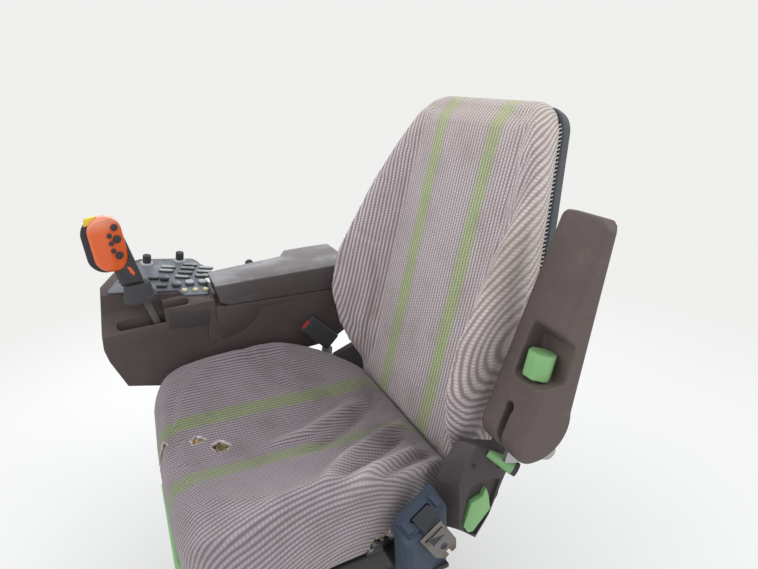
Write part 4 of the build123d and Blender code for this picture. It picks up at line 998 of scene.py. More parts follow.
def fill_with_air(piece: bpy.types.Object, held: np.ndarray, pressure: float, most: float) -> None:
    """Swells a padded piece with Cloth and keeps what goes outward.

    Args:
        piece: The piece.
        held: How firmly each point is held, from 0 to 1.
        pressure: Pressure inside.
        most: How far any point may move, in metres.
    """
    before, normals = points_of(piece), normals_of(piece)
    group = piece.vertex_groups.new(name="held")
    for index in np.flatnonzero(held > 0.01):
        group.add([int(index)], float(held[index]), "REPLACE")
    cloth = piece.modifiers.new("air", "CLOTH")
    cloth.settings.vertex_group_mass = "held"
    cloth.settings.use_pressure = True
    cloth.settings.uniform_pressure_force = pressure
    cloth.settings.tension_stiffness = 25
    cloth.settings.compression_stiffness = 25
    cloth.settings.bending_stiffness = 0.6
    cloth.settings.quality = 4
    cloth.settings.effector_weights.gravity = 0
    cloth.collision_settings.use_self_collision = False
    scene = bpy.context.scene
    scene.frame_start, scene.frame_end = 1, AIR_FRAMES
    for moment in range(1, AIR_FRAMES + 1):
        scene.frame_set(moment)
    apply_modifiers(piece)
    shift = points_of(piece) - before
    outward = (shift * normals).sum(1)
    shift += normals * (np.maximum(outward, -0.3 * MM) - outward)[:, None]
    keep = np.minimum(1.0, most / np.maximum(np.linalg.norm(shift, axis=1), 1e-9))
    move_points(piece, before + shift * keep[:, None])
    scene.frame_set(1)


HIDDEN_SIDE = -0.92
UNROLL_ROUNDS = 250


def carry_over(edges: np.ndarray, first: np.ndarray, second: np.ndarray, count: int) -> np.ndarray:
    """Adds up at every point what its edges bring.

    Args:
        edges: Point numbers of every edge.
        first: What each edge brings to its first point.
        second: What each edge brings to its second point.
        count: The number of points.

    Returns:
        The sums.
    """
    return np.bincount(edges[:, 1], second, count) + np.bincount(edges[:, 0], first, count)


def unroll(places: np.ndarray, normals: np.ndarray, edges: np.ndarray, across: bool) -> np.ndarray:
    """Measures a cushion's cover from its middle, so that a millimetre of cloth is a millimetre everywhere.

    Args:
        places: The cover's points in millimetres: to the side, along the cushion and up.
        normals: Their normals in the same axes.
        edges: Point numbers of every edge.
        across: Whether the cover is measured across the cushion, and not along it.

    Returns:
        Each point's place on the cloth in millimetres.
    """
    lean = normals[:, 1]
    way = np.stack([np.zeros(len(places)), np.ones(len(places)), -2 * lean * np.abs(lean)], 1)
    way -= normals * (way * normals).sum(1, keepdims=True)
    if across:
        way = np.cross(way, normals)
    way /= np.maximum(np.linalg.norm(way, axis=1, keepdims=True), 1e-6)
    one, two = edges.T
    rise = ((way[one] + way[two]) / 2 * (places[two] - places[one])).sum(1)
    shown = np.minimum(normals[one, 2], normals[two, 2]) > HIDDEN_SIDE
    trust = np.where(shown, 1.0, 1e-6)
    start = places[:, 0] if across else places[:, 1]
    middle = 0.0 if across else float(np.median(places[:, 1]))
    pinned = (np.abs(start - middle) < 6.0) & (normals[:, 2] > 0.3)
    value, known, count = np.where(pinned, start, 0.0), pinned.copy(), len(places)
    passes = shown
    while not known.all():
        ahead = (passes & known[one] & ~known[two]).astype(float)
        back = (passes & known[two] & ~known[one]).astype(float)
        total = carry_over(edges, back * (value[two] - rise), ahead * (value[one] + rise), count)
        found = carry_over(edges, back, ahead, count)
        fresh = found > 0
        if not fresh.any() and passes.all():
            break
        if not fresh.any():
            passes = np.ones_like(shown)
            continue
        value[fresh] = total[fresh] / found[fresh]
        known |= fresh
    weight = carry_over(edges, trust, trust, count)
    for _ in range(UNROLL_ROUNDS):
        total = carry_over(edges, trust * (value[two] - rise), trust * (value[one] + rise), count)
        value = np.where(pinned, start, total / weight)
    return value


def lay_cloth(
    piece: bpy.types.Object, places: np.ndarray, normals: np.ndarray
) -> tuple[np.ndarray, np.ndarray]:
    """Unrolls a cushion's cover and writes its weave map.

    Args:
        piece: The cushion.
        places: Its points in millimetres: to the side, along the cushion and up.
        normals: Their normals in the same axes.

    Returns:
        Each point's place across and along the cloth, in metres.
    """
    edges = read_rows(piece.data.edges, "vertices", np.int32, 2)
    across = unroll(places, normals, edges, True) * MM
    along = unroll(places, normals, edges, False) * MM
    layer = piece.data.uv_layers.new(name="weave")
    loops = read_rows(piece.data.loops, "vertex_index", np.int32, 1)[:, 0]
    layer.data.foreach_set("uv", np.stack([across[loops], along[loops]], 1).astype(np.float32).ravel())
    return across, along


# Rows: along, half width of the cushion's rear edge
BACK_EDGE = (
    (-40, 196), (4, 212), (44, 222), (90, 233), (162, 238), (250, 236),
    (357, 222), (445, 205), (537, 188), (600, 176), (630, 160), (644, 132),
)
BACK_DEPTH = 62.0


@dataclass
class BackCushion(SubAssembly):
    """The backrest's cushion: flat in the middle, with a raised bolster at each side."""

    grain: float = 5.5 * MM
    rounds: int = 5
    pressure: float = 3.0
    swell: float = 9 * MM
    lace_low: int = 120
    lace_high: int = 620
    lace_step: int = 12
    lace_pitch: float = 7 * MM

    def fold(self, places: np.ndarray, normals: np.ndarray) -> np.ndarray:
        """Presses the folds of the cover into the cushion.

        Args:
            places: The mesh's points.
            normals: Their normals.

        Returns:
            How far each point moves along its normal, in millimetres.
        """
        local = (places - np.array(JUNCTION)) / MM
        flat = np.stack([local[:, 0], local @ np.array(ALONG)], 1)
        facing = smooth_step(normals @ np.array(FORWARD), 0.05, 0.5)
        moved = np.zeros(len(places))
        # Rows: line across and along, depth, width, lip beside the fold
        folds = (
            (((-222, 300), (-205, 262), (-192, 200), (-188, 120), (-196, 30)), -5.0, 7.0, 2.5),
            (((236, 590), (228, 520), (208, 440), (190, 360), (186, 250)), -8.0, 11.0, 3.0),
            (((212, 575), (200, 500), (184, 420)), -5.0, 9.0, 2.0),
            (((250, 560), (244, 500), (228, 430), (214, 380)), -4.5, 9.0, 1.5),
            (((-250, 322), (-222, 308), (-196, 300)), -2.5, 8.0, 1.0),
            (((196, 230), (206, 120), (214, 30)), -3.0, 12.0, 1.5),
        )
        for line, depth, width, lip in folds:
            gap, share = distance_to_line(flat, line)
            ends = smooth_step(share, 0.0, 0.25) * (1 - smooth_step(share, 0.75, 1.0))
            moved += ends * depth * np.exp(-((gap / width) ** 2))
            moved += ends * lip * np.exp(-(((gap - 1.9 * width) / width) ** 2))
        ripple = np.array([noise(Vector((p[0] * 0.011, p[1] * 0.006, 3.1))) for p in flat])
        moved += ripple * 2.2
        return moved * facing

    def build(self) -> bpy.types.Object:
        """Makes the cushion and lays its cloth.

        Returns:
            The cushion.
        """
        piece = self.cast("back_cushion", Finish.BACK_CLOTH, self.grain, self.rounds)
        forward = (points_of(piece) - np.array(JUNCTION)) @ np.array(FORWARD)
        held = 1 - smooth_step(forward, -48 * MM, -20 * MM)
        fill_with_air(piece, held, self.pressure, self.swell)
        piece.data.update()
        places, normals = points_of(piece), normals_of(piece)
        axes = np.stack([RIGHT, ALONG, FORWARD], 1)
        across, along = lay_cloth(piece, (places - np.array(JUNCTION)) @ axes / MM, normals @ axes)
        folded = self.fold(places, normals)
        move_points(piece, places + normals * (folded * MM)[:, None])
        top = smooth_step(along, 0.50, 0.66)
        outer = smooth_step(np.abs(across), 0.20, 0.30)
        left = smooth_step(places[:, 0], 0.02, 0.22)
        paint_points(piece, "sun_and_highlight", top * 0.30 + outer * left * 0.35 * smooth_step(along, 0.1, 0.5))
        # Darker towards the bottom and on the left bolster; the fold valleys get painted shade.
        low = 1 - smooth_step(along, -0.01, 0.10)
        valley = np.clip(-folded / 7.0, 0, 1)
        paint_points(piece, "soil_and_shade", low * 0.35 + outer * left * 0.22 + valley * 0.5)
        for name in ("worn", "hole_shade", "frayed"):
            paint_points(piece, name, np.zeros(len(places)))
        piece.name = "back_cushion_cloth"
        self.ride(piece, "back_cushion", replaces=True)
        return piece

    def lace(self) -> None:
        """Lays the lace that ties the cover to the shell along both sides, as small slanted loops."""
        rows = np.array(BACK_EDGE, float)
        for side, name in ((-1, "back_lace_right"), (1, "back_lace_left")):
            path = []
            for along in range(self.lace_low, self.lace_high, self.lace_step):
                rear = float(np.interp(along, rows[:, 0], rows[:, 1]))
                path.append(back_point(side * (rear + 1.0), along, -BACK_DEPTH + 3))
            edges = [(k, k + 1) for k in range(len(path) - 1)]
            laid = mesh_object(name, path, [], edges=edges)
            Patterns.run(laid, Patterns.along_path(), Finish.LACE, self.tooth(), self.lace_pitch)
            laid.data.shade_smooth()
            self.ride(laid, "back_cushion")

    @staticmethod
    def tooth() -> bpy.types.Object:
        """Makes one slanted stitch of the lace, a low six-sided rod.

        Returns:
            The stitch, round its own middle.
        """
        rings = ((-6.0, 0.9), (-3.0, 1.5), (3.0, 1.5), (6.0, 0.9))
        points, faces = [], []
        for reach, radius in rings:
            for k in range(6):
                angle = k / 6 * TAU
                height = radius * math.sin(angle) + reach * 0.5
                points.append((radius * math.cos(angle) * MM, reach * MM, height * MM))
        for ring in range(len(rings) - 1):
            for k in range(6):
                a, b = ring * 6 + k, ring * 6 + (k + 1) % 6
                faces.append((a, a + 6, b + 6, b))
        faces.append(tuple(range(6)))
        faces.append(tuple(reversed(range(18, 24))))
        return mesh_object("lace_tooth", points, faces)


# Rows: x, y and z of a worn place, its half sizes along them, painted shade darkening the foam inside
HOLES = (
    (-31, -428, 0, 11, 12, 60, 0.1),
    (3, -390, 0, 17, 15, 60, 1.0),
    (-56, -494, 0, 13, 12, 60, 0.5),
    (286, -190, -56, 30, 24, 17, 0.7),
)


@dataclass
class SeatCushion(SubAssembly):
    """The seat's cushion, crowned at its sides and dished in the middle, with a slack worn cover."""

    grain: float = 5.5 * MM
    rounds: int = 6
    pressure: float = 3.0
    swell: float = 8 * MM
    thread_length: float = 9.0
    thread_radius: float = 0.42

    def fold(self, local: np.ndarray, normals: np.ndarray) -> np.ndarray:
        """Works the folds, dents and the slack of the cover into the cushion's top.

        Args:
            local: Points in millimetres from the junction.
            normals: Their normals.

        Returns:
            How far each point moves along its normal, in millimetres.
        """
        flat = local[:, :2]
        facing = smooth_step(normals[:, 2], 0.0, 0.45)
        moved = np.zeros(len(local))
        # Rows: line in plan, height, width
        folds = (
            (((-35, -100), (0, -172), (30, -236), (40, -293), (44, -350)), 11.0, 13.0),
            (((-28, -62), (18, -118), (56, -172), (92, -232), (104, -300)), -8.0, 15.0),
            (((84, -46), (122, -128), (160, -192), (206, -240), (252, -272), (280, -300)), 15.0, 14.0),
            (((132, -74), (168, -129), (210, -194), (252, -246), (276, -280)), -10.0, 11.0),
            (((182, -60), (232, -148), (262, -205), (282, -246), (298, -284)), 13.0, 11.0),
            (((188, -44), (228, -112), (260, -166), (278, -214)), -9.0, 9.0),
            (((200, -28), (238, -84), (260, -128), (276, -170)), 7.0, 9.0),
            (((-276, -286), (-200, -264), (-150, -240), (-112, -196), (-90, -150)), -4.5, 12.0),
            (((-250, -250), (-190, -222), (-140, -160), (-110, -100)), -3.5, 26.0),
            (((-215, -150), (-180, -200), (-172, -260)), 2.5, 18.0),
        )
        for line, height, width in folds:
            gap, share = distance_to_line(flat, line)
            ends = smooth_step(share, -0.05, 0.15) * (1 - smooth_step(share, 0.6, 1.0))
            moved += ends * height * np.exp(-((gap / width) ** 2))
        slack = np.array([noise(Vector((p[0] * 0.009, p[1] * 0.006, 0.7))) for p in flat])
        moved += slack * 4.0
        return moved * facing

    def wear(self, local: np.ndarray) -> tuple[np.ndarray, np.ndarray]:
        """Finds where the cloth is worn through.

        Args:
            local: Points in millimetres from the junction.

        Returns:
            How far each point lies within a hole, from 0 to 1, and how much painted shade darkens the foam
            there.
        """
        worn, hole_shade = np.zeros(len(local)), np.zeros(len(local))
        wobble = np.array([noise(Vector(p * 0.12)) for p in local]) * 0.4
        for *spot, wide, deep, tall, dark in HOLES:
            reach = np.linalg.norm((local - np.array(spot)) / (wide, deep, tall), axis=1) + wobble
            inside = 1 - smooth_step(reach, 0.8, 1.3)
            hole_shade = np.where(inside > worn, dark, hole_shade)
            worn = np.maximum(worn, inside)
        return worn, hole_shade

    def refine(self, piece: bpy.types.Object) -> None:
        """Divides the mesh more finely round the worn places.

        Args:
            piece: The cushion.
        """
        spots = np.array([hole[:3] for hole in HOLES])
        sizes = np.array([hole[3:6] for hole in HOLES]) + 14.0
        with editing(piece.data) as work:
            for _ in range(2):
                near = []
                for edge in work.edges:
                    middle = np.array((edge.verts[0].co + edge.verts[1].co) / 2 - JUNCTION) / MM
                    if np.any(np.linalg.norm((middle - spots) / sizes, axis=1) < 1):
                        near.append(edge)
                bmesh.ops.subdivide_edges(work, edges=near, cuts=1, use_grid_fill=True, smooth=0.0)
                bmesh.ops.triangulate(work, faces=[face for face in work.faces if len(face.verts) > 4])

    def build(self) -> bpy.types.Object:
        """Makes the cushion and lays its cloth.

        Returns:
            The cushion.
        """
        piece = self.cast("seat_cushion", Finish.CUSHION_CLOTH_SHADED, self.grain, self.rounds)
        places = points_of(piece)
        local = (places - np.array(JUNCTION)) / MM
        held = 1 - smooth_step(local[:, 2], -52, -20)
        fill_with_air(piece, held, self.pressure, self.swell)
        piece.data.update()
        local = (points_of(piece) - np.array(JUNCTION)) / MM
        lay_cloth(piece, local, normals_of(piece))
        self.refine(piece)
        piece.data.update()
        places, normals = points_of(piece), normals_of(piece)
        local = (places - np.array(JUNCTION)) / MM
        folded = self.fold(local, normals)
        worn, hole_shade = self.wear(local)
        crumb = np.array([noise(Vector(p * 0.25)) for p in local])
        sink = worn * (9.0 + crumb * 5.0 - (1 - hole_shade) * 4.0)
        rim = np.exp(-(((worn - 0.2) / 0.18) ** 2)) * (worn > 0.01)
        move_points(piece, places + normals * ((folded + rim * 1.8 - sink) * MM)[:, None])
        # Painted shade towards the rear, under the backrest, and in the fold valleys; soiling in the middle
        # where it is sat on; darker down the sides.
        rear = smooth_step(local[:, 1], -260, -30)
        middle = 1 - smooth_step(np.abs(local[:, 0]), 120, 260)
        edge = smooth_step(-local[:, 2], 10, 60)
        valley = np.clip(-folded / 9.0, 0, 1)
        paint_points(piece, "soil_and_shade", rear * 0.5 + middle * 0.1 + edge * 0.2 + valley * 0.45)
        # Paler towards the left side; the raised folds get a painted highlight.
        ridge = np.clip(folded / 16.0, 0, 1)
        paint_points(piece, "sun_and_highlight", smooth_step(local[:, 0], 150, 262) * 0.22 + ridge * 0.4)
        paint_points(piece, "worn", worn)
        paint_points(piece, "hole_shade", hole_shade)
        paint_points(piece, "frayed", rim)
        piece.name = "seat_cushion_cloth"
        self.ride(piece, "seat_cushion", replaces=True)
        self.threads(piece)
        return piece

    def threads(self, cushion: bpy.types.Object) -> None:
        """Stands loose threads round the worn places.

        Args:
            cushion: The finished cushion.
        """
        places, normals = points_of(cushion), normals_of(cushion)
        rows = []
        for x, y, z, wide, deep, tall, _ in HOLES:
            count = 11 if wide < 20 else 22
            for k in range(count):
                turn = k / count * TAU + 0.4 * math.sin(k * 5.1)
                one, two = math.cos(turn), math.sin(turn)
                out = Vector((one, two, 0.0)) if tall > deep else Vector((0.0, one, two))
                aim = seat_point(x + wide * out.x, y + deep * out.y, z + (tall * out.z if tall < deep else 0))
                near = int(np.argmin(((places - np.array(aim)) ** 2).sum(1)))
                lift = Vector(normals[near]) * (0.5 + 0.3 * math.sin(k * 2.3))
                rows.append((places[near], (lift + out * (-0.7 if k % 3 else 0.9)).normalized()))
        made = spots_object("loose_threads", rows)
        Patterns.run(made, Patterns.at_spots(), Finish.THREAD, self.thread(), 1.0)
        made.data.shade_smooth()
        self.ride(made, "seat_cushion")

    def thread(self) -> bpy.types.Object:
        """Makes one loose thread, a thin bent rod that starts in the cloth.

        Returns:
            The thread, with its foot at the origin.
        """
        points, faces = [], []
        for k in range(7):
            share = k / 6
            radius = self.thread_radius * (1 - 0.6 * share)
            sway = 2.6 * math.sin(share * 3.2)
            height = share * self.thread_length - 0.8
            for j in range(5):
                angle = j / 5 * TAU
                aside, ahead = radius * math.cos(angle) + sway, radius * math.sin(angle)
                points.append((aside * MM, ahead * MM, height * MM))
        for k in range(6):
            for j in range(5):
                a, b = k * 5 + j, k * 5 + (j + 1) % 5
                faces.append((a, b, b + 5, a + 5))
        faces += [tuple(reversed(range(5))), tuple(range(30, 35))]
        return mesh_object("thread", points, faces)


@dataclass
class Suspension(SubAssembly):
    """Base plate, bellows and rails."""

    pleats: int = 7
    width: float = 392.0
    length: float = 412.0
    corner: float = 44.0
    depth: float = 13.5
    wall: float = 2.6
    corner_steps: int = 8
    side_steps: int = 5
    fold_steps: int = 12

    def build(self) -> None:
        """Dresses the base."""
        for name, radius in (("base_plate", 1.0), ("lower_frame", 1.2), ("top_frame", 2.0)):
            self.round_off(name, Finish.FRAME, radius * MM, 2)
        self.fold_bellows()
        self.round_off("rails_lower", Finish.STEEL, 0.5 * MM, 1)
        self.round_off("rails_upper", Finish.FRAME, 0.5 * MM, 1)

    def fold_bellows(self) -> None:
        """Stacks the rounded pleats of the bellows, one copy for each."""
        low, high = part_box("bellows")
        pitch = (high[2] - low[2]) / self.pleats
        middle = ((low[0] + high[0]) / 2, (low[1] + high[1]) / 2)
        rungs = [((*middle, low[2] + (k + 0.5) * pitch), (0.0, 0.0, 1.0)) for k in range(self.pleats)]
        stack = spots_object("bellows_pleats", rungs)
        Patterns.run(stack, Patterns.at_spots(), Finish.BELLOWS, self.pleat(pitch), 1.0)
        with editing(stack.data) as work:
            bmesh.ops.remove_doubles(work, verts=work.verts, dist=0.05 * MM)
        shade_smooth(stack, 70.0)
        self.ride(stack, "bellows", replaces=True)

    def ring(self, inset: float, height: float, ripple: float) -> list[Point]:
        """One loop of a pleat: a rectangle with round corners, slightly slack at the corners.

        Args:
            inset: How far it stands in from the widest loop, in millimetres.
            height: Its height over the pleat's middle, in metres.
            ripple: How far the corners sag, in millimetres.

        Returns:
            The loop's points in metres.
        """
        points = []
        radius = self.corner - inset
        wide, long = self.width / 2 - self.corner, self.length / 2 - self.corner
        middles = ((wide, long), (-wide, long), (-wide, -long), (wide, -long))
        for quarter, (x0, y0) in enumerate(middles):
            for k in range(self.corner_steps + 1):
                share = k / self.corner_steps
                angle = (quarter + share) * math.pi / 2
                reach = radius + ripple * math.sin(4 * angle + 0.6) * math.sin(share * math.pi)
                across, along = x0 + reach * math.cos(angle), y0 + reach * math.sin(angle)
                points.append((across * MM, along * MM, height))
            start = points[-1]
            turn = (quarter + 1) * math.pi / 2
            x1, y1 = middles[(quarter + 1) % 4]
            end = ((x1 + radius * math.cos(turn)) * MM, (y1 + radius * math.sin(turn)) * MM)
            for k in range(1, self.side_steps):
                share = k / self.side_steps
                across = start[0] + (end[0] - start[0]) * share
                along = start[1] + (end[1] - start[1]) * share
                points.append((across, along, height))
        return points

    def pleat(self, pitch: float) -> bpy.types.Object:
        """One pleat, a closed band folded outward at its middle.

        Args:
            pitch: Height of the pleat in metres.

        Returns:
            The pleat's object, round its own middle.
        """
        outside = []
        for k in range(self.fold_steps + 1):
            share = k / self.fold_steps
            fold = 1 - abs(math.sin(share * math.pi)) ** 0.8
            outside.append((self.depth * fold, (share - 0.5) * pitch, 0.9 * (1 - fold)))
        inside = [(self.depth + self.wall, 0.5 * pitch, 0.0), (self.depth + self.wall, -0.5 * pitch, 0.0)]
        points, faces = [], []
        for inset, height, ripple in outside + inside:
            points.extend(self.ring(inset, height, ripple))
        count = len(points) // (len(outside) + len(inside))
        for row in range(len(outside) - 1):
            for k in range(count):
                a, b = row * count + k, row * count + (k + 1) % count
                faces.append((a, b, b + count, a + count))
        row = len(outside) * count
        for k in range(count):
            a, b = row + k, row + (k + 1) % count
            faces.append((a + count, a, b, b + count))
        return mesh_object("pleat", points, faces)


@dataclass
class Fasteners(SubAssembly):
    """Screws, bolts and rivets, laid by one node tree.

    Radii are in millimetres, the places on the base in metres.
    """

    bolt: float = 9.0
    rivet: float = 4.0
    cover_screw: float = 4.2
    shell_screw: float = 5.0
    bolt_grid: tuple[float, float] = (0.12, 0.15)
    plate_top: float = 0.006
    frame_half: tuple[float, float] = (0.196, 0.206)
    rivet_height: float = 0.030

    def button_head(self) -> bpy.types.Object:
        """A low round screw head of radius 1 with a six-sided socket, standing on its own foot."""
        dome = ((12, 1.0, 0.0), (12, 1.0, 0.22), (12, 0.86, 0.46), (12, 0.55, 0.58))
        return self.turned("button_head", dome + ((6, 0.46, 0.56), (6, 0.42, 0.2)))

    def bolt_head(self) -> bpy.types.Object:
        """A six-sided bolt head of radius 1 on a round washer."""
        washer = ((18, 1.5, 0.0), (18, 1.5, 0.16), (18, 1.05, 0.2))
        return self.turned("bolt_head", washer + ((6, 1.0, 0.22), (6, 1.0, 0.72), (6, 0.84, 0.84)))

    @staticmethod
    def turned(name: str, rings: Sequence[tuple[int, float, float]]) -> bpy.types.Object:
        """Makes a head from rings, each with a count of corners, a radius and a height.

        Args:
            name: The piece's name.
            rings: The rings from the foot up.

        Returns:
            The head, its last ring capped.
        """
        sides = 36
        points, faces = [], []
        for corners, radius, height in rings:
            flat = math.pi / corners
            for k in range(sides):
                angle = k / sides * TAU
                within = (angle + flat) % (2 * flat) - flat
                reach = radius * (math.cos(flat) / math.cos(within) if corners < 12 else 1.0)
                points.append((reach * math.cos(angle), reach * math.sin(angle), height))
        for row in range(len(rings) - 1):
            for k in range(sides):
                a, b = row * sides + k, row * sides + (k + 1) % sides
                faces.append((a, b, b + sides, a + sides))
        last = (len(rings) - 1) * sides
        faces.append(tuple(range(last, last + sides)))
        faces.append(tuple(reversed(range(sides))))
        return mesh_object(name, points, faces)

    def set_out(
        self, name: str, node: str, finish: Finish, head: bpy.types.Object, size: float, spots: Sequence
    ) -> bpy.types.Object:
        """Stands one kind of head on its spots.

        Args:
            name: Name of the whole set.
            node: Node that the set is fixed to.
            finish: What covers it.
            head: The head that is repeated.
            size: Radius of a head in millimetres.
            spots: Rows of a place in metres and the direction that the head faces.

        Returns:
            The set as one piece.
        """
        made = spots_object(name, [(place, Vector(way).normalized()) for place, way in spots])
        Patterns.run(made, Patterns.at_spots(), finish, head, size * MM)
        shade_smooth(made, 35.0)
        return self.ride(made, node)

    def build(self) -> None:
        """Sets out every fastener."""
        up = (0.0, 0.0, 1.0)
        wide, long = self.bolt_grid
        bolts = [(Vector((x, y, self.plate_top)), up) for x in (-wide, wide) for y in (-long, long)]
        self.set_out("base_bolt_heads", "base_plate", Finish.STEEL, self.bolt_head(), self.bolt, bolts)
        rivets = []
        wide, long = self.frame_half
        for y in (-0.14, -0.05, 0.05, 0.14):
            rivets += [(Vector((side * wide, y, self.rivet_height)), (side, 0, 0)) for side in (-1, 1)]
        for x in (-0.12, -0.04, 0.04, 0.12):
            rivets += [(Vector((x, side * long, self.rivet_height)), (0, side, 0)) for side in (-1, 1)]
        head = self.button_head()
        self.set_out("lower_frame_rivets", "lower_frame", Finish.STEEL, head, self.rivet, rivets)
        cover = [(seat_point(304.0, 22.0, 40.0), (1, 0, 0)), (seat_point(304.0, -30.0, 60.0), (1, 0, 0))]
        head = self.button_head()
        self.set_out("cover_screws", "side_cover_left", Finish.BLACK, head, self.cover_screw, cover)
        shell = [(back_point(x, along, -84.0), -FORWARD) for x in (-150, 150) for along in (60, 330, 560)]
        head = self.button_head()
        self.set_out("shell_screws", "back_shell", Finish.BLACK, head, self.shell_screw, shell)


@dataclass
class SeatFrame(SubAssembly):
    """Pan, recliner, bars, covers and belt parts."""

    def build(self) -> None:
        """Dresses the frame and what hangs on it."""
        for name, finish, radius in (
            ("seat_pan", Finish.FRAME, 1.2),
            ("recliner_plates", Finish.FRAME, 0.8),
            ("belt_anchors", Finish.FRAME, 1.0),
            ("belt_retractor", Finish.NAVY, 2.4),
            ("latch_plate", Finish.LATCH, 0.4),
            ("buckle_body", Finish.BLACK, 1.4),
            ("buckle_button", Finish.RED, 0.8),
            ("buckle_stalk", Finish.STEEL, 0.6),
            ("side_cover_left", Finish.COVER, 4.0),
            ("side_cover_right", Finish.COVER, 3.0),
            ("recline_lever", Finish.GREEN, 2.6),
            ("console_bracket", Finish.FRAME, 0.8),
        ):
            self.round_off(name, finish, radius * MM)
        for name, finish in (
            ("recliner_pins", Finish.STEEL),
            ("belt_webbing", Finish.BELT),
            ("slide_bar", Finish.GREEN),
            ("lumbar_handle", Finish.GREEN),
            ("lumbar_handle_cap", Finish.BLACK),
        ):
            self.carry(name, finish)


@dataclass
class BackFrame(SubAssembly):
    """Back shell and the steel arms under it."""

    shell_edge: float = 5.0 * MM
    arm_edge: float = 0.8 * MM
    bracket_edge: float = 0.6 * MM

    def build(self) -> None:
        """Dresses the shell and arms."""
        self.round_off("back_shell", Finish.SHELL, self.shell_edge, 4)
        self.round_off("back_arms", Finish.FRAME, self.arm_edge, 2)
        self.round_off("armrest_bracket", Finish.STEEL, self.bracket_edge, 2)


@dataclass
class ArmrestLeft(SubAssembly):
    """Folding armrest with its angle knob."""

    grain: float = 2.4 * MM
    rounds: int = 4
    knob_edge: float = 2.0 * MM

    def build(self) -> None:
        """Dresses the armrest."""
        piece = self.cast("armrest_left", Finish.BROWN, self.grain, self.rounds)
        piece.name = "armrest_left_moulding"
        self.ride(piece, "armrest_left", replaces=True)
        self.round_off("armrest_knob", Finish.GREEN, self.knob_edge)


@dataclass
class Console(SubAssembly):
    """Console, its armrest pad, panel, keys and knobs."""

    def build(self) -> None:
        """Dresses the console."""
        for name, finish, radius in (
            ("console_body", Finish.CONSOLE, 3.5),
            ("console_plate", Finish.PLATE, 0.8),
            ("armrest_pad", Finish.PAD, 6.0),
            ("control_panel", Finish.PANEL, 1.2),
            ("long_keys", Finish.KEY, 1.8),
            ("round_keys", Finish.KEY, 2.2),
            ("small_keys", Finish.KEY, 1.6),
            ("lamp_keys", Finish.LAMP, 1.2),
            ("knob_skirts", Finish.SKIRT, 0.6),
            ("rotary_knobs", Finish.BLACK, 1.2),
            ("console_latch", Finish.BLACK, 3.0),
            ("ball_knob", Finish.BLACK, 0.6),
        ):
            self.round_off(name, finish, radius * MM)


@dataclass
class DriveLever(SubAssembly):
    """Drive lever: bar, boot, grip and head."""

    insert_sunk: float = 1.5
    insert_proud: float = 0.9
    insert_edge: float = 0.6 * MM

    def build(self) -> None:
        """Dresses the lever."""
        for name, finish, radius in (
            ("lever_pivot", Finish.STEEL, 0.5),
            ("lever_bar", Finish.DULL_STEEL, 0.8),
            ("lever_boot", Finish.BOOT, 2.0),
            ("lever_grip", Finish.BLACK, 1.5),
            ("lever_head", Finish.ORANGE, 2.0),
            ("lever_head_back", Finish.BLACK, 2.0),
            ("head_keys", Finish.BLACK, 1.2),
            ("head_switch", Finish.YELLOW, 1.2),
        ):
            self.round_off(name, finish, radius * MM)
        self.insert()

    def insert(self) -> None:
        """Sets the small orange insert into the side of the grip."""
        # Rows: y and z in millimetres from the junction
        outline = [(-486, 314), (-482, 300), (-476, 291), (-473, 298), (-479, 311)]
        face = (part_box("lever_grip")[1][0] - JUNCTION.x) / MM
        count = len(outline)
        levels = (face - self.insert_sunk, face + self.insert_proud)
        points = [seat_point(level, y, z) for level in levels for y, z in outline]
        sides = [(k, (k + 1) % count, (k + 1) % count + count, k + count) for k in range(count)]
        caps = [tuple(reversed(range(count))), tuple(range(count, 2 * count))]
        made = mesh_object("grip_insert", points, sides + caps, Finish.ORANGE)
        with editing(made.data) as work:
            bmesh.ops.recalc_face_normals(work, faces=work.faces)
        bevel = made.modifiers.new("edges", "BEVEL")
        bevel.width, bevel.segments = self.insert_edge, 2
        shade_smooth(apply_modifiers(made), 40.0)
        self.ride(made, "lever_grip")


BACKDROP = (0.87, 0.87, 0.86)


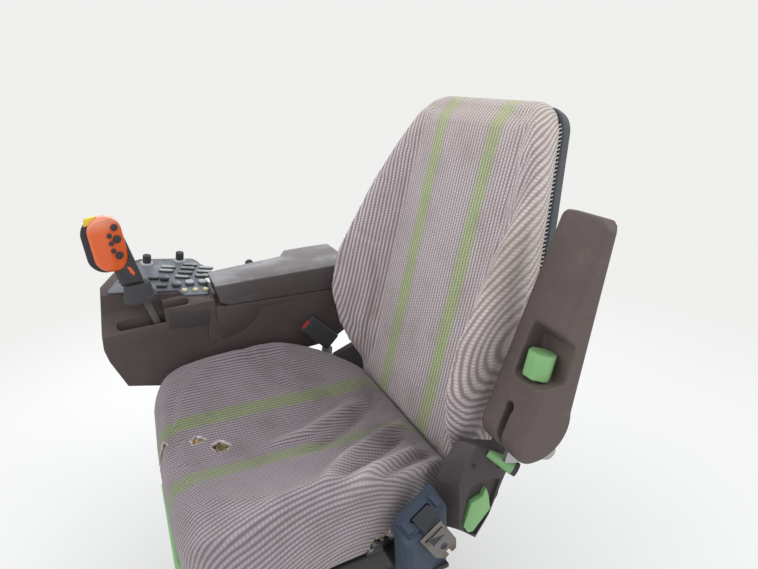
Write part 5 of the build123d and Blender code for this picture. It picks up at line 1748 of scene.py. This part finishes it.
@dataclass
class Studio:
    """Floor, light and camera."""

    sky: float = 0.95
    sensor: float = 36.0
    focal: float = 27.15
    heading: float = 65.9
    pitch: float = 21.4
    roll: float = -2.8
    eye: Point = (0.9448, -0.2410, 1.1889)

    def build(self) -> None:
        """Sets the stage and the camera."""
        scene = bpy.context.scene
        scene.view_settings.view_transform = "Standard"
        world = bpy.data.worlds.new("studio")
        scene.world = world
        world.use_nodes = True
        tree = world.node_tree
        tree.nodes.clear()
        paths = tree.nodes.new("ShaderNodeLightPath")
        lit = tree.nodes.new("ShaderNodeBackground")
        lit.inputs["Color"].default_value = (0.97, 0.985, 1.0, 1)
        lit.inputs["Strength"].default_value = self.sky
        seen = tree.nodes.new("ShaderNodeBackground")
        seen.inputs["Color"].default_value = (*BACKDROP, 1)
        pick = tree.nodes.new("ShaderNodeMixShader")
        out = tree.nodes.new("ShaderNodeOutputWorld")
        share = paths.outputs["Is Camera Ray"]
        for kind in ("Is Glossy Ray", "Is Transmission Ray"):
            either = tree.nodes.new("ShaderNodeMath")
            either.operation = "MAXIMUM"
            tree.links.new(share, either.inputs[0])
            tree.links.new(paths.outputs[kind], either.inputs[1])
            share = either.outputs[0]
        tree.links.new(share, pick.inputs[0])
        tree.links.new(lit.outputs[0], pick.inputs[1])
        tree.links.new(seen.outputs[0], pick.inputs[2])
        tree.links.new(pick.outputs[0], out.inputs[0])
        self.lamp("window_key", (1.6, 1.9, 2.6), 1.8, 22)
        self.lamp("roof_fill", (-0.2, -1.6, 2.9), 2.4, 16)
        self.lamp("window_far", (-2.2, 0.4, 1.7), 2.0, 16)
        self.floor()
        self.camera()

    @staticmethod
    def lamp(name: str, place: Point, size: float, power: float) -> None:
        """Hangs a soft square lamp that looks at the seat.

        Args:
            name: The lamp's name.
            place: Where it hangs, in metres.
            size: Length of its sides, in metres.
            power: Its power, in watts.
        """
        light = bpy.data.lights.new(name, "AREA")
        light.size = size
        light.energy = power
        made = bpy.data.objects.new(name, light)
        made.location = place
        aim = Vector((0.0, 0.1, 0.65)) - Vector(place)
        made.rotation_euler = aim.to_track_quat("-Z", "Y").to_euler()
        bpy.context.scene.collection.objects.link(made)

    @staticmethod
    def floor() -> None:
        """Lays the pale floor, which fades into the backdrop a few steps away."""
        paint = Paint("studio_floor")
        length = paint.add("ShaderNodeVectorMath", {"operation": "LENGTH"}, {0: paint.place()})
        away = Wire(paint, length.outputs["Value"])
        glow = paint.add("ShaderNodeEmission", None, {"Color": BACKDROP})
        material = paint.surface((0.80, 0.80, 0.79), 0.85 + paint.cloud(2.0, 2.0) * 0.05)
        lit = paint.output.inputs["Surface"].links[0].from_socket
        fade = paint.add("ShaderNodeMixShader", None, {0: away.step(0.9, 2.6), 1: lit, 2: glow.outputs[0]})
        paint.feed(paint.output.inputs["Surface"], fade.outputs[0])
        half = 30.0
        corners = [(-half, -half, 0), (half, -half, 0), (half, half, 0), (-half, half, 0)]
        made = mesh_object("studio_floor", corners, [(0, 1, 2, 3)])
        made.data.materials.append(material)

    def camera(self) -> None:
        """Stands the camera where the photograph was taken from."""
        turn, dip, tilt = (math.radians(value) for value in (self.heading, self.pitch, self.roll))
        ahead = Vector((-math.sin(turn), math.cos(turn), 0)) * math.cos(dip)
        ahead -= Vector((0, 0, 1)) * math.sin(dip)
        level = Vector((math.cos(turn), math.sin(turn), 0))
        above = level.cross(ahead)
        right = level * math.cos(tilt) + above * math.sin(tilt)
        up = above * math.cos(tilt) - level * math.sin(tilt)
        data = bpy.data.cameras.new("camera")
        data.lens = self.focal
        data.sensor_width = self.sensor
        made = bpy.data.objects.new("camera", data)
        bpy.context.scene.collection.objects.link(made)
        basis = Matrix((right, up, -ahead)).transposed().to_4x4()
        made.matrix_world = Matrix.Translation(Vector(self.eye)) @ basis
        bpy.context.scene.camera = made


def main() -> None:
    """Builds every sub-assembly."""
    logging.basicConfig(level=logging.INFO, format="%(name)s: %(message)s")
    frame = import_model()
    Suspension(frame).build()
    SeatFrame(frame).build()
    SeatCushion(frame).build()
    BackFrame(frame).build()
    back = BackCushion(frame)
    back.build()
    back.lace()
    ArmrestLeft(frame).build()
    Console(frame).build()
    DriveLever(frame).build()
    Fasteners(frame).build()
    Studio().build()


if __name__ == "__main__":
    main()
